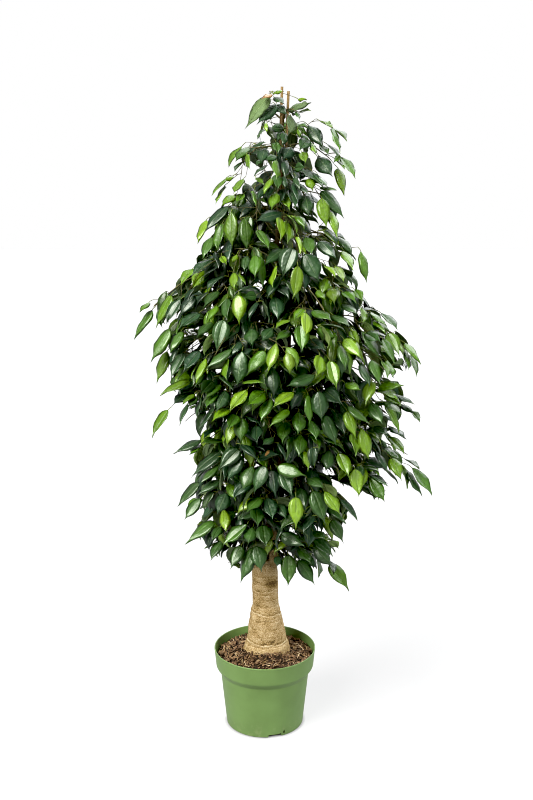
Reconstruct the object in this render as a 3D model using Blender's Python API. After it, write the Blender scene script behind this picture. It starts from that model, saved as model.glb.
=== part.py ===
# Weeping fig (Ficus benjamina) trained as a leafy pyramid on a thick wound trunk, in a green nursery pot
# Metres, +Z up. The origin is the centre of the pot's flat underside, and -Y is the side that faces the viewer.
import math
import random

import bmesh
import bpy
from mathutils import Vector
from mathutils.bvhtree import BVHTree

UP = Vector((0, 0, 1))
SEAT_GAP = 0.0003  # clear space between two pieces that rest on or in each other

# Pot: thin injection-moulded shell with a stepped collar
POT_SIDES = 32
POT_HEIGHT = 0.213
POT_BASE_RADIUS = 0.103
NECK_RADIUS = 0.1180  # top of the tapered body, under the collar
NECK_HEIGHT = 0.147
COLLAR_RADIUS = 0.1302  # bottom of the collar
COLLAR_HEIGHT = 0.1635
RIM_RADIUS = 0.135
POT_WALL = 0.0022
POT_FLOOR = 0.003
NOTCH_COUNT = 3  # drain notches cut through the corner of wall and floor
NOTCH_WIDTH = 0.038
NOTCH_HEIGHT = 0.0065
NOTCH_DEPTH = 0.016
FIRST_NOTCH_DEGREES = -74  # the notch that shows at the front, right of the middle
SLOT_DEGREES = -60.4  # small upright drain slot through the wall, right of that notch
SLOT_SIZE = (0.022, 0.005, 0.0085)
SLOT_HEIGHT = 0.010

# Soil, with a plain hole for the trunk's root
SOIL_TOP = 0.191
SOIL_LUMP = 0.0055
ROOT_DEPTH = 0.150  # height of the hole's bottom

# Trunk: (height, radius) of its turned outline, and the creases between its wound layers as (height, tilt)
TRUNK_SIDES = 16
TRUNK_OUTLINE = (
    (0.196, 0.0620), (0.212, 0.0590), (0.230, 0.0545), (0.250, 0.0510), (0.274, 0.0480),
    (0.302, 0.0425), (0.330, 0.0378), (0.360, 0.0360), (0.400, 0.0354), (0.440, 0.0338),
)
ROOT_RADIUS = 0.0630
TRUNK_TOP = 0.455
TRUNK_TOP_RADIUS = 0.029
CREASES = (
    (0.2300, 0.0020), (0.2700, -0.0035), (0.3100, 0.0030), (0.3680, -0.0035), (0.4060, 0.0030), (0.4320, -0.0015),
)
CREASE_DEPTH = 0.0013
CREASE_WIDTH = 0.0070
BULGE = 0.0007  # how far a layer swells between two creases
TRUNK_AXIS = ((0.006, 0.013, 0.150), (0.005, 0.008, 0.300), (0.0046, 0.002, 0.455))

# Stems that rise from the trunk's head: the points they pass through, and their radii there
STEM_SIDES = 8
LEADER = ((0.0046, 0.0200, 0.40), (0.0050, 0.0200, 0.50), (0.0090, 0.0180, 0.75), (0.0170, 0.0160, 1.00),
          (0.0280, 0.0130, 1.25), (0.0410, 0.0120, 1.45), (0.0450, 0.0110, 1.60))
LEADER_RADII = (0.0115, 0.0115, 0.0100, 0.0085, 0.0065, 0.0045, 0.0025)
RIGHT_STEM = ((0.0236, -0.0080, 0.40), (0.0260, -0.0100, 0.50), (0.0380, -0.0220, 0.70),
              (0.0520, -0.0320, 0.90), (0.0620, -0.0340, 1.10), (0.0660, -0.0300, 1.22))
RIGHT_RADII = (0.0115, 0.0110, 0.0090, 0.0070, 0.0050, 0.0028)
LEFT_STEM = ((-0.0144, -0.0080, 0.40), (-0.0180, -0.0090, 0.50), (-0.0340, -0.0040, 0.70),
             (-0.0500, 0.0080, 0.90), (-0.0600, 0.0160, 1.05), (-0.0630, 0.0200, 1.15))
LEFT_RADII = (0.0115, 0.0110, 0.0090, 0.0065, 0.0045, 0.0028)

# Two support canes pushed between the stems, and the ties that hold them to the leader
CANE_RADIUS = 0.0032
CANES = (((0.0026, -0.0030), (0.0415, -0.0040, 1.658)), ((0.0106, 0.0010), (0.0570, 0.0040, 1.648)))
TIE_HEIGHTS = (0.72, 1.06, 1.40)
TIE_HEIGHT = 0.004
TIE_THICKNESS = 0.0014
TIE_CLEAR = 0.0009  # the leader leans, so the band stands this far off it at mid height
TIE_POINTS = 12

# Canopy: reach of the leaf tips from the pot's axis, seen from the front, as (height, reach)
LEFT_REACH = (
    (0.37, 0.07), (0.46, 0.16), (0.52, 0.215), (0.60, 0.235), (0.70, 0.20), (0.80, 0.24), (0.90, 0.265),
    (1.00, 0.29), (1.06, 0.33), (1.14, 0.31), (1.20, 0.225), (1.30, 0.17), (1.40, 0.135), (1.50, 0.09), (1.60, 0.05),
)
RIGHT_REACH = (
    (0.37, 0.10), (0.46, 0.18), (0.52, 0.215), (0.60, 0.26), (0.70, 0.37), (0.80, 0.36), (0.90, 0.37),
    (1.00, 0.385), (1.08, 0.33), (1.15, 0.25), (1.22, 0.25), (1.30, 0.205), (1.40, 0.195), (1.50, 0.19), (1.60, 0.10),
)
DEPTH_SHARE = 0.95  # front and back reach against the mean of left and right

# Branches placed by hand, which make the canopy's outline: (azimuth in degrees, reach of the twig, its tip's height)
# Azimuth 0 is the viewer's right, 90 the back and 180 the left
OUTLINE_BRANCHES = (
    (180, 0.005, 1.605), (-30, 0.085, 1.590), (5, 0.125, 1.550), (-4, 0.160, 1.490), (182, 0.055, 1.475),
    (6, 0.150, 1.405), (176, 0.120, 1.335), (-8, 0.190, 1.250), (184, 0.275, 1.125), (170, 0.215, 1.010),
    (2, 0.325, 1.065), (174, 0.205, 0.925), (-5, 0.325, 0.910), (183, 0.200, 0.835), (5, 0.370, 0.740),
    (-3, 0.165, 0.580), (178, 0.175, 0.645), (-10, 0.165, 0.470), (8, 0.300, 0.985), (-7, 0.280, 0.825),
)
RULE_BRANCHES = 28
LOWEST_TIP = 0.470
HIGHEST_TIP = 1.560
GOLDEN_ANGLE = 137.508
LOWEST_ROOT = 0.490
HIGHEST_ROOT = 1.585
TIP_INSET = 0.045  # the leaf tips reach this far past the twig
TIP_HANG = 0.045  # and hang this far below it
ROOT_RADIUS_TWIG = 0.0032
TIP_RADIUS_TWIG = 0.0012
TWIG_POINT = 0.006  # length of the twig's pointed end
NODE_LENGTH = 0.004  # stretch of twig that one leaf stalk takes
PAIR_SPACING = 0.040  # leaves grow left, then right, in pairs a few millimetres apart
FEWEST_PAIRS = 3
MOST_PAIRS = 7
BARE_SHARE = 0.20  # of the twig, next to the stem, that carries no leaf

# Leaf: ovate with a drip tip, its two halves sloping down from the midrib
LEAF_LENGTH = 0.094
LEAF_WIDTH = 0.046
LEAF_SPREAD = 0.14  # random share by which a leaf's size differs
LEAF_RISE = 0.0036  # height of the midrib over the edges
STALK_LENGTH = 0.013
STALK_RADIUS = 0.0011
WIDEST_AT = 0.30
NARROWER_AT = 0.70
NARROWER_WIDTH = 0.64
LEAF_CLEAR = 0.0009  # space kept round each leaf and twig
TRIES = 26
SEED = 7


def smooth_through(stops, x):
    """The value at x of the smooth line through (x, value) stops."""
    if x <= stops[0][0]:
        return stops[0][1]
    for (x0, y0), (x1, y1) in zip(stops, stops[1:]):
        if x <= x1:
            share = (x - x0) / (x1 - x0)
            share = share * share * (3 - 2 * share)
            return y0 + (y1 - y0) * share
    return stops[-1][1]


def on_path(points, share):
    """A point on the Catmull-Rom curve through points, share 0 to 1 of the way."""
    points = [Vector(p) for p in points]
    place = min(share, 0.99999) * (len(points) - 1)
    i, t = int(place), place - int(place)
    before = points[i - 1] if i else points[0] * 2 - points[1]
    after = points[i + 2] if i + 2 < len(points) else points[-1] * 2 - points[-2]
    a, b = points[i], points[i + 1]
    return 0.5 * (2 * a + (b - before) * t + (2 * before - 5 * a + 4 * b - after) * t * t
                  + (3 * a - 3 * b + after - before) * t * t * t)


def material(name, colour, roughness):
    made = bpy.data.materials.new(name)
    made.use_nodes = True
    shader = made.node_tree.nodes["Principled BSDF"]
    shader.inputs["Base Color"].default_value = (*colour, 1)
    shader.inputs["Roughness"].default_value = roughness
    shader.inputs["Metallic"].default_value = 0
    made.diffuse_color = (*colour, 1)
    return made


def shade(mesh, smooth_angle):
    mesh.shade_smooth()
    mesh.set_sharp_from_angle(angle=math.radians(smooth_angle))


def finish(name, bm, finish_material, smooth_angle=35):
    """Turns a bmesh into a named object with its material."""
    mesh = bpy.data.meshes.new(name)
    bm.to_mesh(mesh)
    bm.free()
    mesh.materials.append(finish_material)
    shade(mesh, smooth_angle)
    obj = bpy.data.objects.new(name, mesh)
    bpy.context.scene.collection.objects.link(obj)
    return obj


def matched(ring, corners):
    """The ring's points, turned to pair up with the nearest of the corners. A short ring repeats its last point."""
    ring = ring + ring[-1:] * (len(corners) - len(ring))
    count = len(ring)
    turn = min(range(count),
               key=lambda k: sum((ring[(j + k) % count] - corners[j]).length for j in range(count)))
    return [ring[(j + turn) % count] for j in range(count)]


def draw_out(bm, face, ring):
    """Extrudes a face to a ring of points. Gives the new face and the faces round its side."""
    face = bmesh.ops.extrude_discrete_faces(bm, faces=[face])["faces"][0]
    for vert, place in zip(face.verts, ring):
        vert.co = place
    return face, [next(f for f in edge.link_faces if f is not face) for edge in face.edges]


def drawn(rings):
    """A closed body drawn through rings of points, each counter-clockwise about the way it grows."""
    bm = bmesh.new()
    face = bm.faces.new([bm.verts.new(p) for p in rings[0]])
    for ring in rings[1:]:
        face, _ = draw_out(bm, face, ring)
    close(bm)
    return bm


def close(bm):
    """Fills the open foot of a drawn body, and turns all faces outward."""
    bmesh.ops.holes_fill(bm, edges=[edge for edge in bm.edges if edge.is_boundary])
    bmesh.ops.recalc_face_normals(bm, faces=bm.faces[:])


def circle(centre, radius, sides, turn=0.0):
    centre = Vector(centre)
    return [centre + Vector((radius * math.cos(a), radius * math.sin(a), 0))
            for a in (turn + math.tau * k / sides for k in range(sides))]


def apply_modifier(obj):
    """Replaces an object's mesh by what its modifiers make of it."""
    graph = bpy.context.evaluated_depsgraph_get()
    made = bpy.data.meshes.new_from_object(obj.evaluated_get(graph))
    obj.modifiers.clear()
    obj.data = made


def join(obj, others, operation, smooth_angle):
    """Unites obj with the other objects, or cuts them from it, and removes them."""
    group = bpy.data.collections.new("joined")
    bpy.context.scene.collection.children.link(group)
    for other in others:
        bpy.context.scene.collection.objects.unlink(other)
        group.objects.link(other)
    boolean = obj.modifiers.new("join", "BOOLEAN")
    boolean.operand_type = "COLLECTION"
    boolean.collection = group
    boolean.operation = operation
    boolean.solver = "EXACT"
    apply_modifier(obj)
    for other in others:
        bpy.data.objects.remove(other)
    bpy.data.collections.remove(group)
    shade(obj.data, smooth_angle)
    return obj


def tree_of(obj):
    bm = bmesh.new()
    bm.from_mesh(obj.data)
    bmesh.ops.triangulate(bm, faces=bm.faces[:])
    tree = BVHTree.FromBMesh(bm)
    bm.free()
    return tree


# Pot


def pot_inner_radius(height):
    """Radius of the pot's inside at a height."""
    stops = ((POT_FLOOR, POT_BASE_RADIUS - POT_WALL), (NECK_HEIGHT, NECK_RADIUS - POT_WALL),
             (COLLAR_HEIGHT, COLLAR_RADIUS - POT_WALL), (POT_HEIGHT, RIM_RADIUS - POT_WALL))
    for (z0, r0), (z1, r1) in zip(stops, stops[1:]):
        if height <= z1:
            return r0 + (r1 - r0) * (height - z0) / (z1 - z0)
    return stops[-1][1]


def build_pot(plastic):
    outline = [
        (POT_BASE_RADIUS - 0.0015, 0.0), (POT_BASE_RADIUS, 0.0015), (NECK_RADIUS, NECK_HEIGHT),
        (COLLAR_RADIUS, COLLAR_HEIGHT), (RIM_RADIUS, POT_HEIGHT),
        (RIM_RADIUS - POT_WALL, POT_HEIGHT), (COLLAR_RADIUS - POT_WALL, COLLAR_HEIGHT),
        (NECK_RADIUS - POT_WALL, NECK_HEIGHT), (POT_BASE_RADIUS - POT_WALL, POT_FLOOR),
    ]
    pot = finish("pot", drawn([circle((0, 0, z), r, POT_SIDES) for r, z in outline]), plastic)
    cutters = []
    for k in range(NOTCH_COUNT):
        bm = bmesh.new()
        bmesh.ops.create_cube(bm, size=1)
        bmesh.ops.scale(bm, verts=bm.verts, vec=(NOTCH_DEPTH, NOTCH_WIDTH, 2 * NOTCH_HEIGHT))
        cutter = finish(f"notch_{k}", bm, plastic)
        angle = math.radians(FIRST_NOTCH_DEGREES + 360 * k / NOTCH_COUNT)
        cutter.location = (POT_BASE_RADIUS * math.cos(angle), POT_BASE_RADIUS * math.sin(angle), 0)
        cutter.rotation_euler.z = angle
        cutters.append(cutter)
    bm = bmesh.new()
    bmesh.ops.create_cube(bm, size=1)
    bmesh.ops.scale(bm, verts=bm.verts, vec=SLOT_SIZE)
    cutter = finish("slot", bm, plastic)
    angle = math.radians(SLOT_DEGREES)
    cutter.location = (POT_BASE_RADIUS * math.cos(angle), POT_BASE_RADIUS * math.sin(angle), SLOT_HEIGHT)
    cutter.rotation_euler.z = angle
    cutters.append(cutter)
    bpy.context.view_layer.update()
    return join(pot, cutters, "DIFFERENCE", 24)


# Soil


def build_soil(peat):
    draw = random.Random(SEED)
    root = on_path(TRUNK_AXIS, 0.1)
    hole_radius = (ROOT_RADIUS + SEAT_GAP) / math.cos(math.pi / POT_SIDES)
    clear = 1.3 * SEAT_GAP

    def relief(share):
        """Ring of the soil's surface, share 0 at the trunk and 1 at the pot."""
        inner = circle((root.x, root.y, 0), hole_radius, POT_SIDES)
        outer = circle((0, 0, 0), pot_inner_radius(SOIL_TOP) - clear, POT_SIDES)
        height = SOIL_TOP + SOIL_LUMP * (1 - share) * 0.6
        lump = 0 if share in (0, 1) else SOIL_LUMP
        return [a.lerp(b, share) + UP * (height + draw.uniform(-lump, lump)) for a, b in zip(inner, outer)]

    rings = [circle((0, 0, POT_FLOOR + SEAT_GAP), pot_inner_radius(POT_FLOOR) - clear, POT_SIDES)]
    rings += [circle((0, 0, NECK_HEIGHT), NECK_RADIUS - POT_WALL - clear, POT_SIDES)]
    rings += [circle((0, 0, COLLAR_HEIGHT), COLLAR_RADIUS - POT_WALL - clear, POT_SIDES)]
    rings += [relief(share) for share in (1, 0.8, 0.5, 0.22, 0)]
    rings += [circle((root.x, root.y, ROOT_DEPTH), hole_radius, POT_SIDES)]
    return finish("soil", drawn(rings), peat, 60)


# Trunk and stems


def trunk_stations():
    """(height, tilt, change of radius) of the trunk's rings: three at each crease and one on each swell."""
    stations = []
    for (low, low_tilt), (high, high_tilt) in zip(CREASES, CREASES[1:]):
        stations += [(low, low_tilt, -CREASE_DEPTH), (low + CREASE_WIDTH, low_tilt, BULGE / 2)]
        stations += [((low + high) / 2, (low_tilt + high_tilt) / 2, BULGE)]
        stations += [(high - CREASE_WIDTH, high_tilt, BULGE / 2)]
    return stations + [(*CREASES[-1], -CREASE_DEPTH)]


def stem(name, points, radii, bark):
    """A round stem through points, with its radius at each."""
    rings = []
    steps = 2 * (len(points) - 1)
    for k in range(steps + 1):
        share = k / steps
        centre = on_path(points, share)
        place = min(share, 0.99999) * (len(radii) - 1)
        i = int(place)
        radius = radii[i] + (radii[i + 1] - radii[i]) * (place - i)
        rings.append(circle(centre, radius, STEM_SIDES, 0.3))
    return finish(name, drawn(rings), bark)


def trunk_ring(height, tilt, change):
    """A ring round the trunk's leaning axis, tilted across it."""
    low, high = TRUNK_AXIS[0][2], TRUNK_AXIS[-1][2]
    ring = []
    for k in range(TRUNK_SIDES):
        angle = math.tau * k / TRUNK_SIDES
        level = height + tilt * math.cos(angle + 40 * height)
        centre = on_path(TRUNK_AXIS, (level - low) / (high - low))
        radius = smooth_through(TRUNK_OUTLINE, level) + change
        ring.append(Vector((centre.x + radius * math.cos(angle), centre.y + radius * math.sin(angle), level)))
    return ring


def build_trunk(bark):
    root = on_path(TRUNK_AXIS, 0.1)
    rings = [circle((root.x, root.y, z), ROOT_RADIUS, TRUNK_SIDES)
             for z in (ROOT_DEPTH + SEAT_GAP, TRUNK_OUTLINE[0][0])]
    rings.append(trunk_ring(0.212, 0.001, BULGE))
    rings += [trunk_ring(*station) for station in trunk_stations()]
    rings.append(trunk_ring(0.442, 0, 0))
    head = Vector(TRUNK_AXIS[-1])
    rings.append(circle((head.x, head.y, TRUNK_TOP), TRUNK_TOP_RADIUS, TRUNK_SIDES))
    trunk = finish("trunk", drawn(rings), bark)
    stems = [stem("leader", LEADER, LEADER_RADII, bark), stem("right", RIGHT_STEM, RIGHT_RADII, bark),
             stem("left", LEFT_STEM, LEFT_RADII, bark)]
    return join(trunk, stems, "UNION", 50)


# Canes and ties


def cane_at(cane, height):
    foot, top = cane
    base = Vector((*foot, TRUNK_TOP + SEAT_GAP))
    return base.lerp(Vector(top), (height - base.z) / (top[2] - base.z))


def build_canes(bamboo):
    canes = []
    for k, cane in enumerate(CANES):
        heights = (TRUNK_TOP + SEAT_GAP, cane[1][2])
        rings = [circle(cane_at(cane, z), CANE_RADIUS, 6) for z in heights]
        canes.append(finish(f"cane_{k + 1}", drawn(rings), bamboo))
    return canes


def leader_at(height):
    """Centre and radius of the leader at a height."""
    low, high = 0.0, 1.0
    for _ in range(24):
        middle = (low + high) / 2
        if on_path(LEADER, middle).z < height:
            low = middle
        else:
            high = middle
    place = low * (len(LEADER_RADII) - 1)
    i = int(place)
    radius = LEADER_RADII[i] + (LEADER_RADII[i + 1] - LEADER_RADII[i]) * (place - i)
    return on_path(LEADER, low), radius


def build_ties(rubber):
    """Each tie is a band drawn round the leader and both canes."""
    ties = []
    for k, height in enumerate(TIE_HEIGHTS):
        centre, radius = leader_at(height)
        held = [(centre, radius)] + [(cane_at(cane, height), CANE_RADIUS) for cane in CANES]

        def around(clear, z):
            """The outline that stands clear of all the held rods."""
            ring = []
            for j in range(TIE_POINTS):
                out = Vector((math.cos(math.tau * j / TIE_POINTS), math.sin(math.tau * j / TIE_POINTS), 0))
                middle, reach = max(held, key=lambda rod: rod[0].dot(out) + rod[1])
                place = middle + out * (reach + clear)
                ring.append(Vector((place.x, place.y, height + z)))
            return ring

        outside = TIE_CLEAR + TIE_THICKNESS
        band = finish(f"tie_{k + 1}", drawn([around(outside, z * TIE_HEIGHT / 2) for z in (-1, 1)]), rubber)
        core = finish("core", drawn([around(TIE_CLEAR, z * TIE_HEIGHT) for z in (-1, 1)]), rubber)
        ties.append(join(band, [core], "DIFFERENCE", 40))
    return ties


# Growth that keeps clear of what has grown before


def grown_thicker(rings, extra):
    """The same rings, each pushed out from its own centre."""
    thicker = []
    for ring in rings:
        centre = sum(ring, Vector()) / len(ring)
        thicker.append([p + (p - centre).normalized() * extra for p in ring])
    return thicker


class Growth:
    """Everything grown so far, as bodies that new growth is tried against."""

    def __init__(self):
        self.bodies = []

    def skin(self, rings):
        """Middle, reach and search tree of a body drawn through rings."""
        count = len(rings[0])
        points = [p for ring in rings for p in ring]
        faces = [tuple(range(count)), tuple(range(len(points) - count, len(points)))]
        for r in range(len(rings) - 1):
            for k in range(count):
                a, b = r * count + k, r * count + (k + 1) % count
                faces.append((a, b, b + count, a + count))
        centre = sum(points, Vector()) / len(points)
        reach = max((p - centre).length for p in points)
        return centre, reach, BVHTree.FromPolygons(points, faces)

    def is_clear(self, body, owner=None):
        centre, reach, tree = body
        return not any(
            (owner is None or name != owner) and (centre - other).length < reach + span and tree.overlap(found)
            for name, other, span, found in self.bodies
        )

    def add(self, body, owner):
        self.bodies.append((owner, *body))

    def add_object(self, obj):
        points = [obj.matrix_world @ v.co for v in obj.data.vertices]
        centre = sum(points, Vector()) / len(points)
        reach = max((p - centre).length for p in points)
        self.bodies.append((obj.name, centre, reach, tree_of(obj)))


# Branches


def canopy_reach(azimuth, height):
    """How far the leaf tips stand out at an azimuth in radians and a height."""
    right = smooth_through(RIGHT_REACH, height)
    left = smooth_through(LEFT_REACH, height)
    side = math.cos(azimuth) ** 2
    sideways = right if math.cos(azimuth) > 0 else left
    return sideways * side + DEPTH_SHARE * (left + right) / 2 * (1 - side)


def branch_tips():
    """(azimuth, reach, height) of each branch's tip, the highest first."""
    tips = [(math.radians(a), reach, height) for a, reach, height in OUTLINE_BRANCHES]
    # The rule's tips climb so that each covers an equal area of the canopy, a golden angle apart
    steps = 400
    heights = [LOWEST_TIP + (HIGHEST_TIP - LOWEST_TIP) * k / steps for k in range(steps + 1)]
    areas = [canopy_reach(math.pi / 2, z) for z in heights]
    total, covered, k = sum(areas), 0.0, 0
    for height, area in zip(heights, areas):
        covered += area
        if k < RULE_BRANCHES and covered >= total * (k + 0.5) / RULE_BRANCHES:
            azimuth = math.radians(70 + GOLDEN_ANGLE * k) % math.tau
            tips.append((azimuth, canopy_reach(azimuth, height - TIP_HANG) - TIP_INSET, height))
            k += 1
    return sorted(tips, key=lambda tip: -tip[2])


def branch_route(wood, tip, looser, draw):
    """Points along a branch that leaves its stem, rises, arches over and weeps to its tip, with its heading."""
    azimuth, reach, height = tip
    azimuth += draw.uniform(-0.06, 0.06) * looser
    height += draw.uniform(-0.010, 0.010) * looser
    tip = Vector((reach * math.cos(azimuth), reach * math.sin(azimuth), height))
    root_height = height + draw.uniform(-0.04, 0.04) * looser
    root_height = min(max(root_height, LOWEST_ROOT), HIGHEST_ROOT)
    axis, _ = leader_at(root_height)
    inward = (Vector((axis.x, axis.y, 0)) - Vector((tip.x, tip.y, 0))).normalized()
    hit, normal, _, _ = wood.ray_cast(Vector((tip.x, tip.y, root_height)), inward)
    if hit is None:
        return None
    normal = Vector((normal.x, normal.y, 0)).normalized()
    heading = Vector((tip.x - hit.x, tip.y - hit.y, 0))
    distance = heading.length
    heading.normalize()
    seat = hit + normal * (SEAT_GAP * 1.2)
    collar = seat + normal * 0.004
    side = heading.cross(UP)
    crest = collar.lerp(tip, 0.5) + UP * distance * draw.uniform(0.34, 0.52)
    crest += side * draw.uniform(-0.05, 0.05)
    arch = [collar.lerp(crest, t).lerp(crest.lerp(tip, t), t) for t in (k / 40 for k in range(41))]
    return seat, normal, arch, heading


def place_on(points, share):
    """Point and tangent at a share of the length of a fine polyline."""
    lengths = [(b - a).length for a, b in zip(points, points[1:])]
    target = share * sum(lengths)
    for (a, b), length in zip(zip(points, points[1:]), lengths):
        if target <= length or b is points[-1]:
            return a.lerp(b, target / length), (b - a).normalized()
        target -= length


def twig_ring(centre, tangent, heading, radius):
    """Three corners round a twig, one on top, counter-clockwise about its tangent."""
    side = UP.cross(heading).normalized()
    side = (side - tangent * side.dot(tangent)).normalized()
    top = tangent.cross(side)
    return [centre + (side * math.cos(a) + top * math.sin(a)) * radius
            for a in (math.radians(90), math.radians(210), math.radians(330))]


def twig_rings(seat, normal, arch, heading):
    """Rings of a whole twig, and the (ring, side) from which each leaf grows, side 1 left and -1 right."""
    length = sum((b - a).length for a, b in zip(arch, arch[1:]))

    def ring_at(share):
        point, tangent = place_on(arch, share)
        radius = ROOT_RADIUS_TWIG + (TIP_RADIUS_TWIG - ROOT_RADIUS_TWIG) * share
        return twig_ring(point, tangent, heading, radius)

    rings = [twig_ring(seat, normal, normal, ROOT_RADIUS_TWIG), ring_at(0.06), ring_at(BARE_SHARE * 0.62)]
    leaves = []
    pairs = min(max(round(length / PAIR_SPACING), FEWEST_PAIRS), MOST_PAIRS)
    node = NODE_LENGTH / length
    for k in range(pairs):
        start = BARE_SHARE + (1 - BARE_SHARE - 3 * node) * k / (pairs - 1)
        first = 1 if k % 2 else -1
        leaves += [(len(rings), first), (len(rings) + 1, -first)]
        rings += [ring_at(start), ring_at(start + node), ring_at(start + 2 * node)]
    rings.append(ring_at(1.0))
    return rings, leaves


def leaf_rings(root, heading, fall, roll, length, width, clear=0.0):
    """Rings of a leaf from the end of its stalk to near its tip, and the tip. clear makes it that much fatter."""

    def frame(angle):
        """Directions along the leaf, out of its face and across it, at an angle of fall."""
        along = heading * math.cos(angle) - UP * math.sin(angle)
        face = heading * math.sin(angle) + UP * math.cos(angle)
        across = face.cross(along)
        rolled = face * math.cos(roll) + across * math.sin(roll)
        return along, rolled, rolled.cross(along)

    def ring(centre, angle, half_width, rise, drop):
        """Left edge, midrib and right edge: the midrib stands over the edges as a low roof."""
        _, face, across = frame(angle)
        half_width, rise, drop = half_width + clear, rise + clear, drop + clear
        return [centre + across * half_width - face * drop, centre + face * rise,
                centre - across * half_width - face * drop]

    bend = math.radians(15)
    widest = root + frame(fall)[0] * length * WIDEST_AT
    narrower = widest + frame(fall + bend)[0] * length * (NARROWER_AT - WIDEST_AT)
    tip = narrower + frame(fall + 2.2 * bend)[0] * length * (1 - NARROWER_AT)
    rings = [
        ring(root, fall - bend, STALK_RADIUS, STALK_RADIUS, STALK_RADIUS / 2),
        ring(widest, fall + bend / 2, width / 2, LEAF_RISE / 2, LEAF_RISE / 2),
        ring(narrower, fall + 1.5 * bend, NARROWER_WIDTH * width / 2, LEAF_RISE / 2, LEAF_RISE / 2),
    ]
    return rings, tip + frame(fall + 2.2 * bend)[0] * clear


def try_leaf(growth, owner, foot, side_out, out, place, hand, draw):
    """A clear leaf from the corners of a twig's face, or None. hand is 1 left of the twig and -1 right of it."""
    root = sum(foot, Vector()) / 4
    for attempt in range(TRIES):
        looser = 1 + attempt / TRIES
        yaw = hand * math.radians(draw.uniform(12, 60) * (1.15 - 0.6 * place) * looser)
        heading = Vector((out.x * math.cos(yaw) - out.y * math.sin(yaw),
                          out.x * math.sin(yaw) + out.y * math.cos(yaw), 0))
        fall = math.radians(draw.uniform(22, 58) * (1.0 if attempt < 10 else draw.uniform(0.3, 1.3)))
        roll = math.radians(draw.uniform(-24, 24))
        size = draw.uniform(1 - LEAF_SPREAD, 1 + LEAF_SPREAD)
        length, width = LEAF_LENGTH * size, LEAF_WIDTH * size * draw.uniform(0.92, 1.06)
        stalk = (side_out * 0.75 + heading * 0.55 + UP * draw.uniform(-0.1, 0.3)).normalized()
        base = root + stalk * STALK_LENGTH * draw.uniform(0.9, 1.3)
        rings, tip = leaf_rings(base, heading, fall, roll, length, width, LEAF_CLEAR)
        blade = growth.skin(rings + [[tip] * 3])
        if not growth.is_clear(blade):
            continue
        start = [p.lerp(q, 0.2) for p, q in zip(foot, matched(rings[0], foot))]
        stalk_line = growth.skin([grown_thicker([start], LEAF_CLEAR)[0], matched(rings[0], foot)])
        if not growth.is_clear(stalk_line, owner):
            continue
        growth.add(blade, "leaf")
        growth.add(stalk_line, "stalk")
        return leaf_rings(base, heading, fall, roll, length, width)
    return None


def extrude_leaf(bm, face, rings, tip):
    """Draws a leaf out of one face of the twig, ring by ring, and closes it in its tip."""
    for ring in rings:
        face, _ = draw_out(bm, face, matched(ring, [v.co for v in face.verts]))
        twins = [v for v in face.verts if v.co == ring[-1]]
        if len(twins) > 1:
            bmesh.ops.pointmerge(bm, verts=twins, merge_co=ring[-1])
    end, _ = draw_out(bm, face, [tip] * 3)
    bmesh.ops.pointmerge(bm, verts=end.verts[:], merge_co=tip)


class Branch:
    """A twig with its place, and the leaves grown on it so far."""

    def __init__(self, name, tip, wood, growth, draw):
        self.name = name
        for attempt in range(6 * TRIES):
            route = branch_route(wood, tip, 1 + attempt / 20, draw)
            if route is None:
                continue
            seat, normal, self.arch, self.heading = route
            self.rings, self.sites = twig_rings(seat, normal, self.arch, self.heading)
            last, tangent = place_on(self.arch, 1.0)
            self.tip = last + tangent * TWIG_POINT
            end = [self.tip + tangent * LEAF_CLEAR] * 3
            thick = growth.skin(grown_thicker(self.rings[1:], LEAF_CLEAR) + [end])
            collar = growth.skin(self.rings[:3])
            if growth.is_clear(thick) and growth.is_clear(collar):
                break
        else:
            raise RuntimeError(f"{name} finds no clear route")
        growth.add(thick, name)
        self.leaves = []

    def grow_leaf(self, k, growth, draw):
        """Tries to grow the leaf of one site, from the upper left or upper right side of the twig."""
        ring, hand = self.sites[k]
        low, high = self.rings[ring], self.rings[ring + 1]
        first, second = (2, 0) if hand == 1 else (0, 1)
        foot = [low[first], low[second], high[second], high[first]]
        root = sum(foot, Vector()) / 4
        side_out = (foot[1] - foot[0]).cross(foot[3] - foot[0]).normalized()
        out = Vector((root.x, root.y, 0)).normalized() + self.heading
        place = ring / len(self.rings)
        made = try_leaf(growth, self.name, foot, side_out, out.normalized(), place, hand, draw)
        if made:
            self.leaves.append((ring, first, *made))

    def build(self, foliage):
        """Draws the twig out of its root, then each leaf out of its side."""
        bm = bmesh.new()
        end = bm.faces.new([bm.verts.new(p) for p in self.rings[0]])
        sides = []
        for ring in self.rings[1:]:
            end, around = draw_out(bm, end, ring)
            sides.append(around)
        for ring, side, blade, point in self.leaves:
            extrude_leaf(bm, sides[ring][side], blade, point)
        end, _ = draw_out(bm, end, [self.tip] * 3)
        bmesh.ops.pointmerge(bm, verts=end.verts[:], merge_co=self.tip)
        close(bm)
        bmesh.ops.triangulate(bm, faces=bm.faces[:], quad_method="SHORT_EDGE")
        return finish(self.name, bm, foliage, 50)


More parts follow.
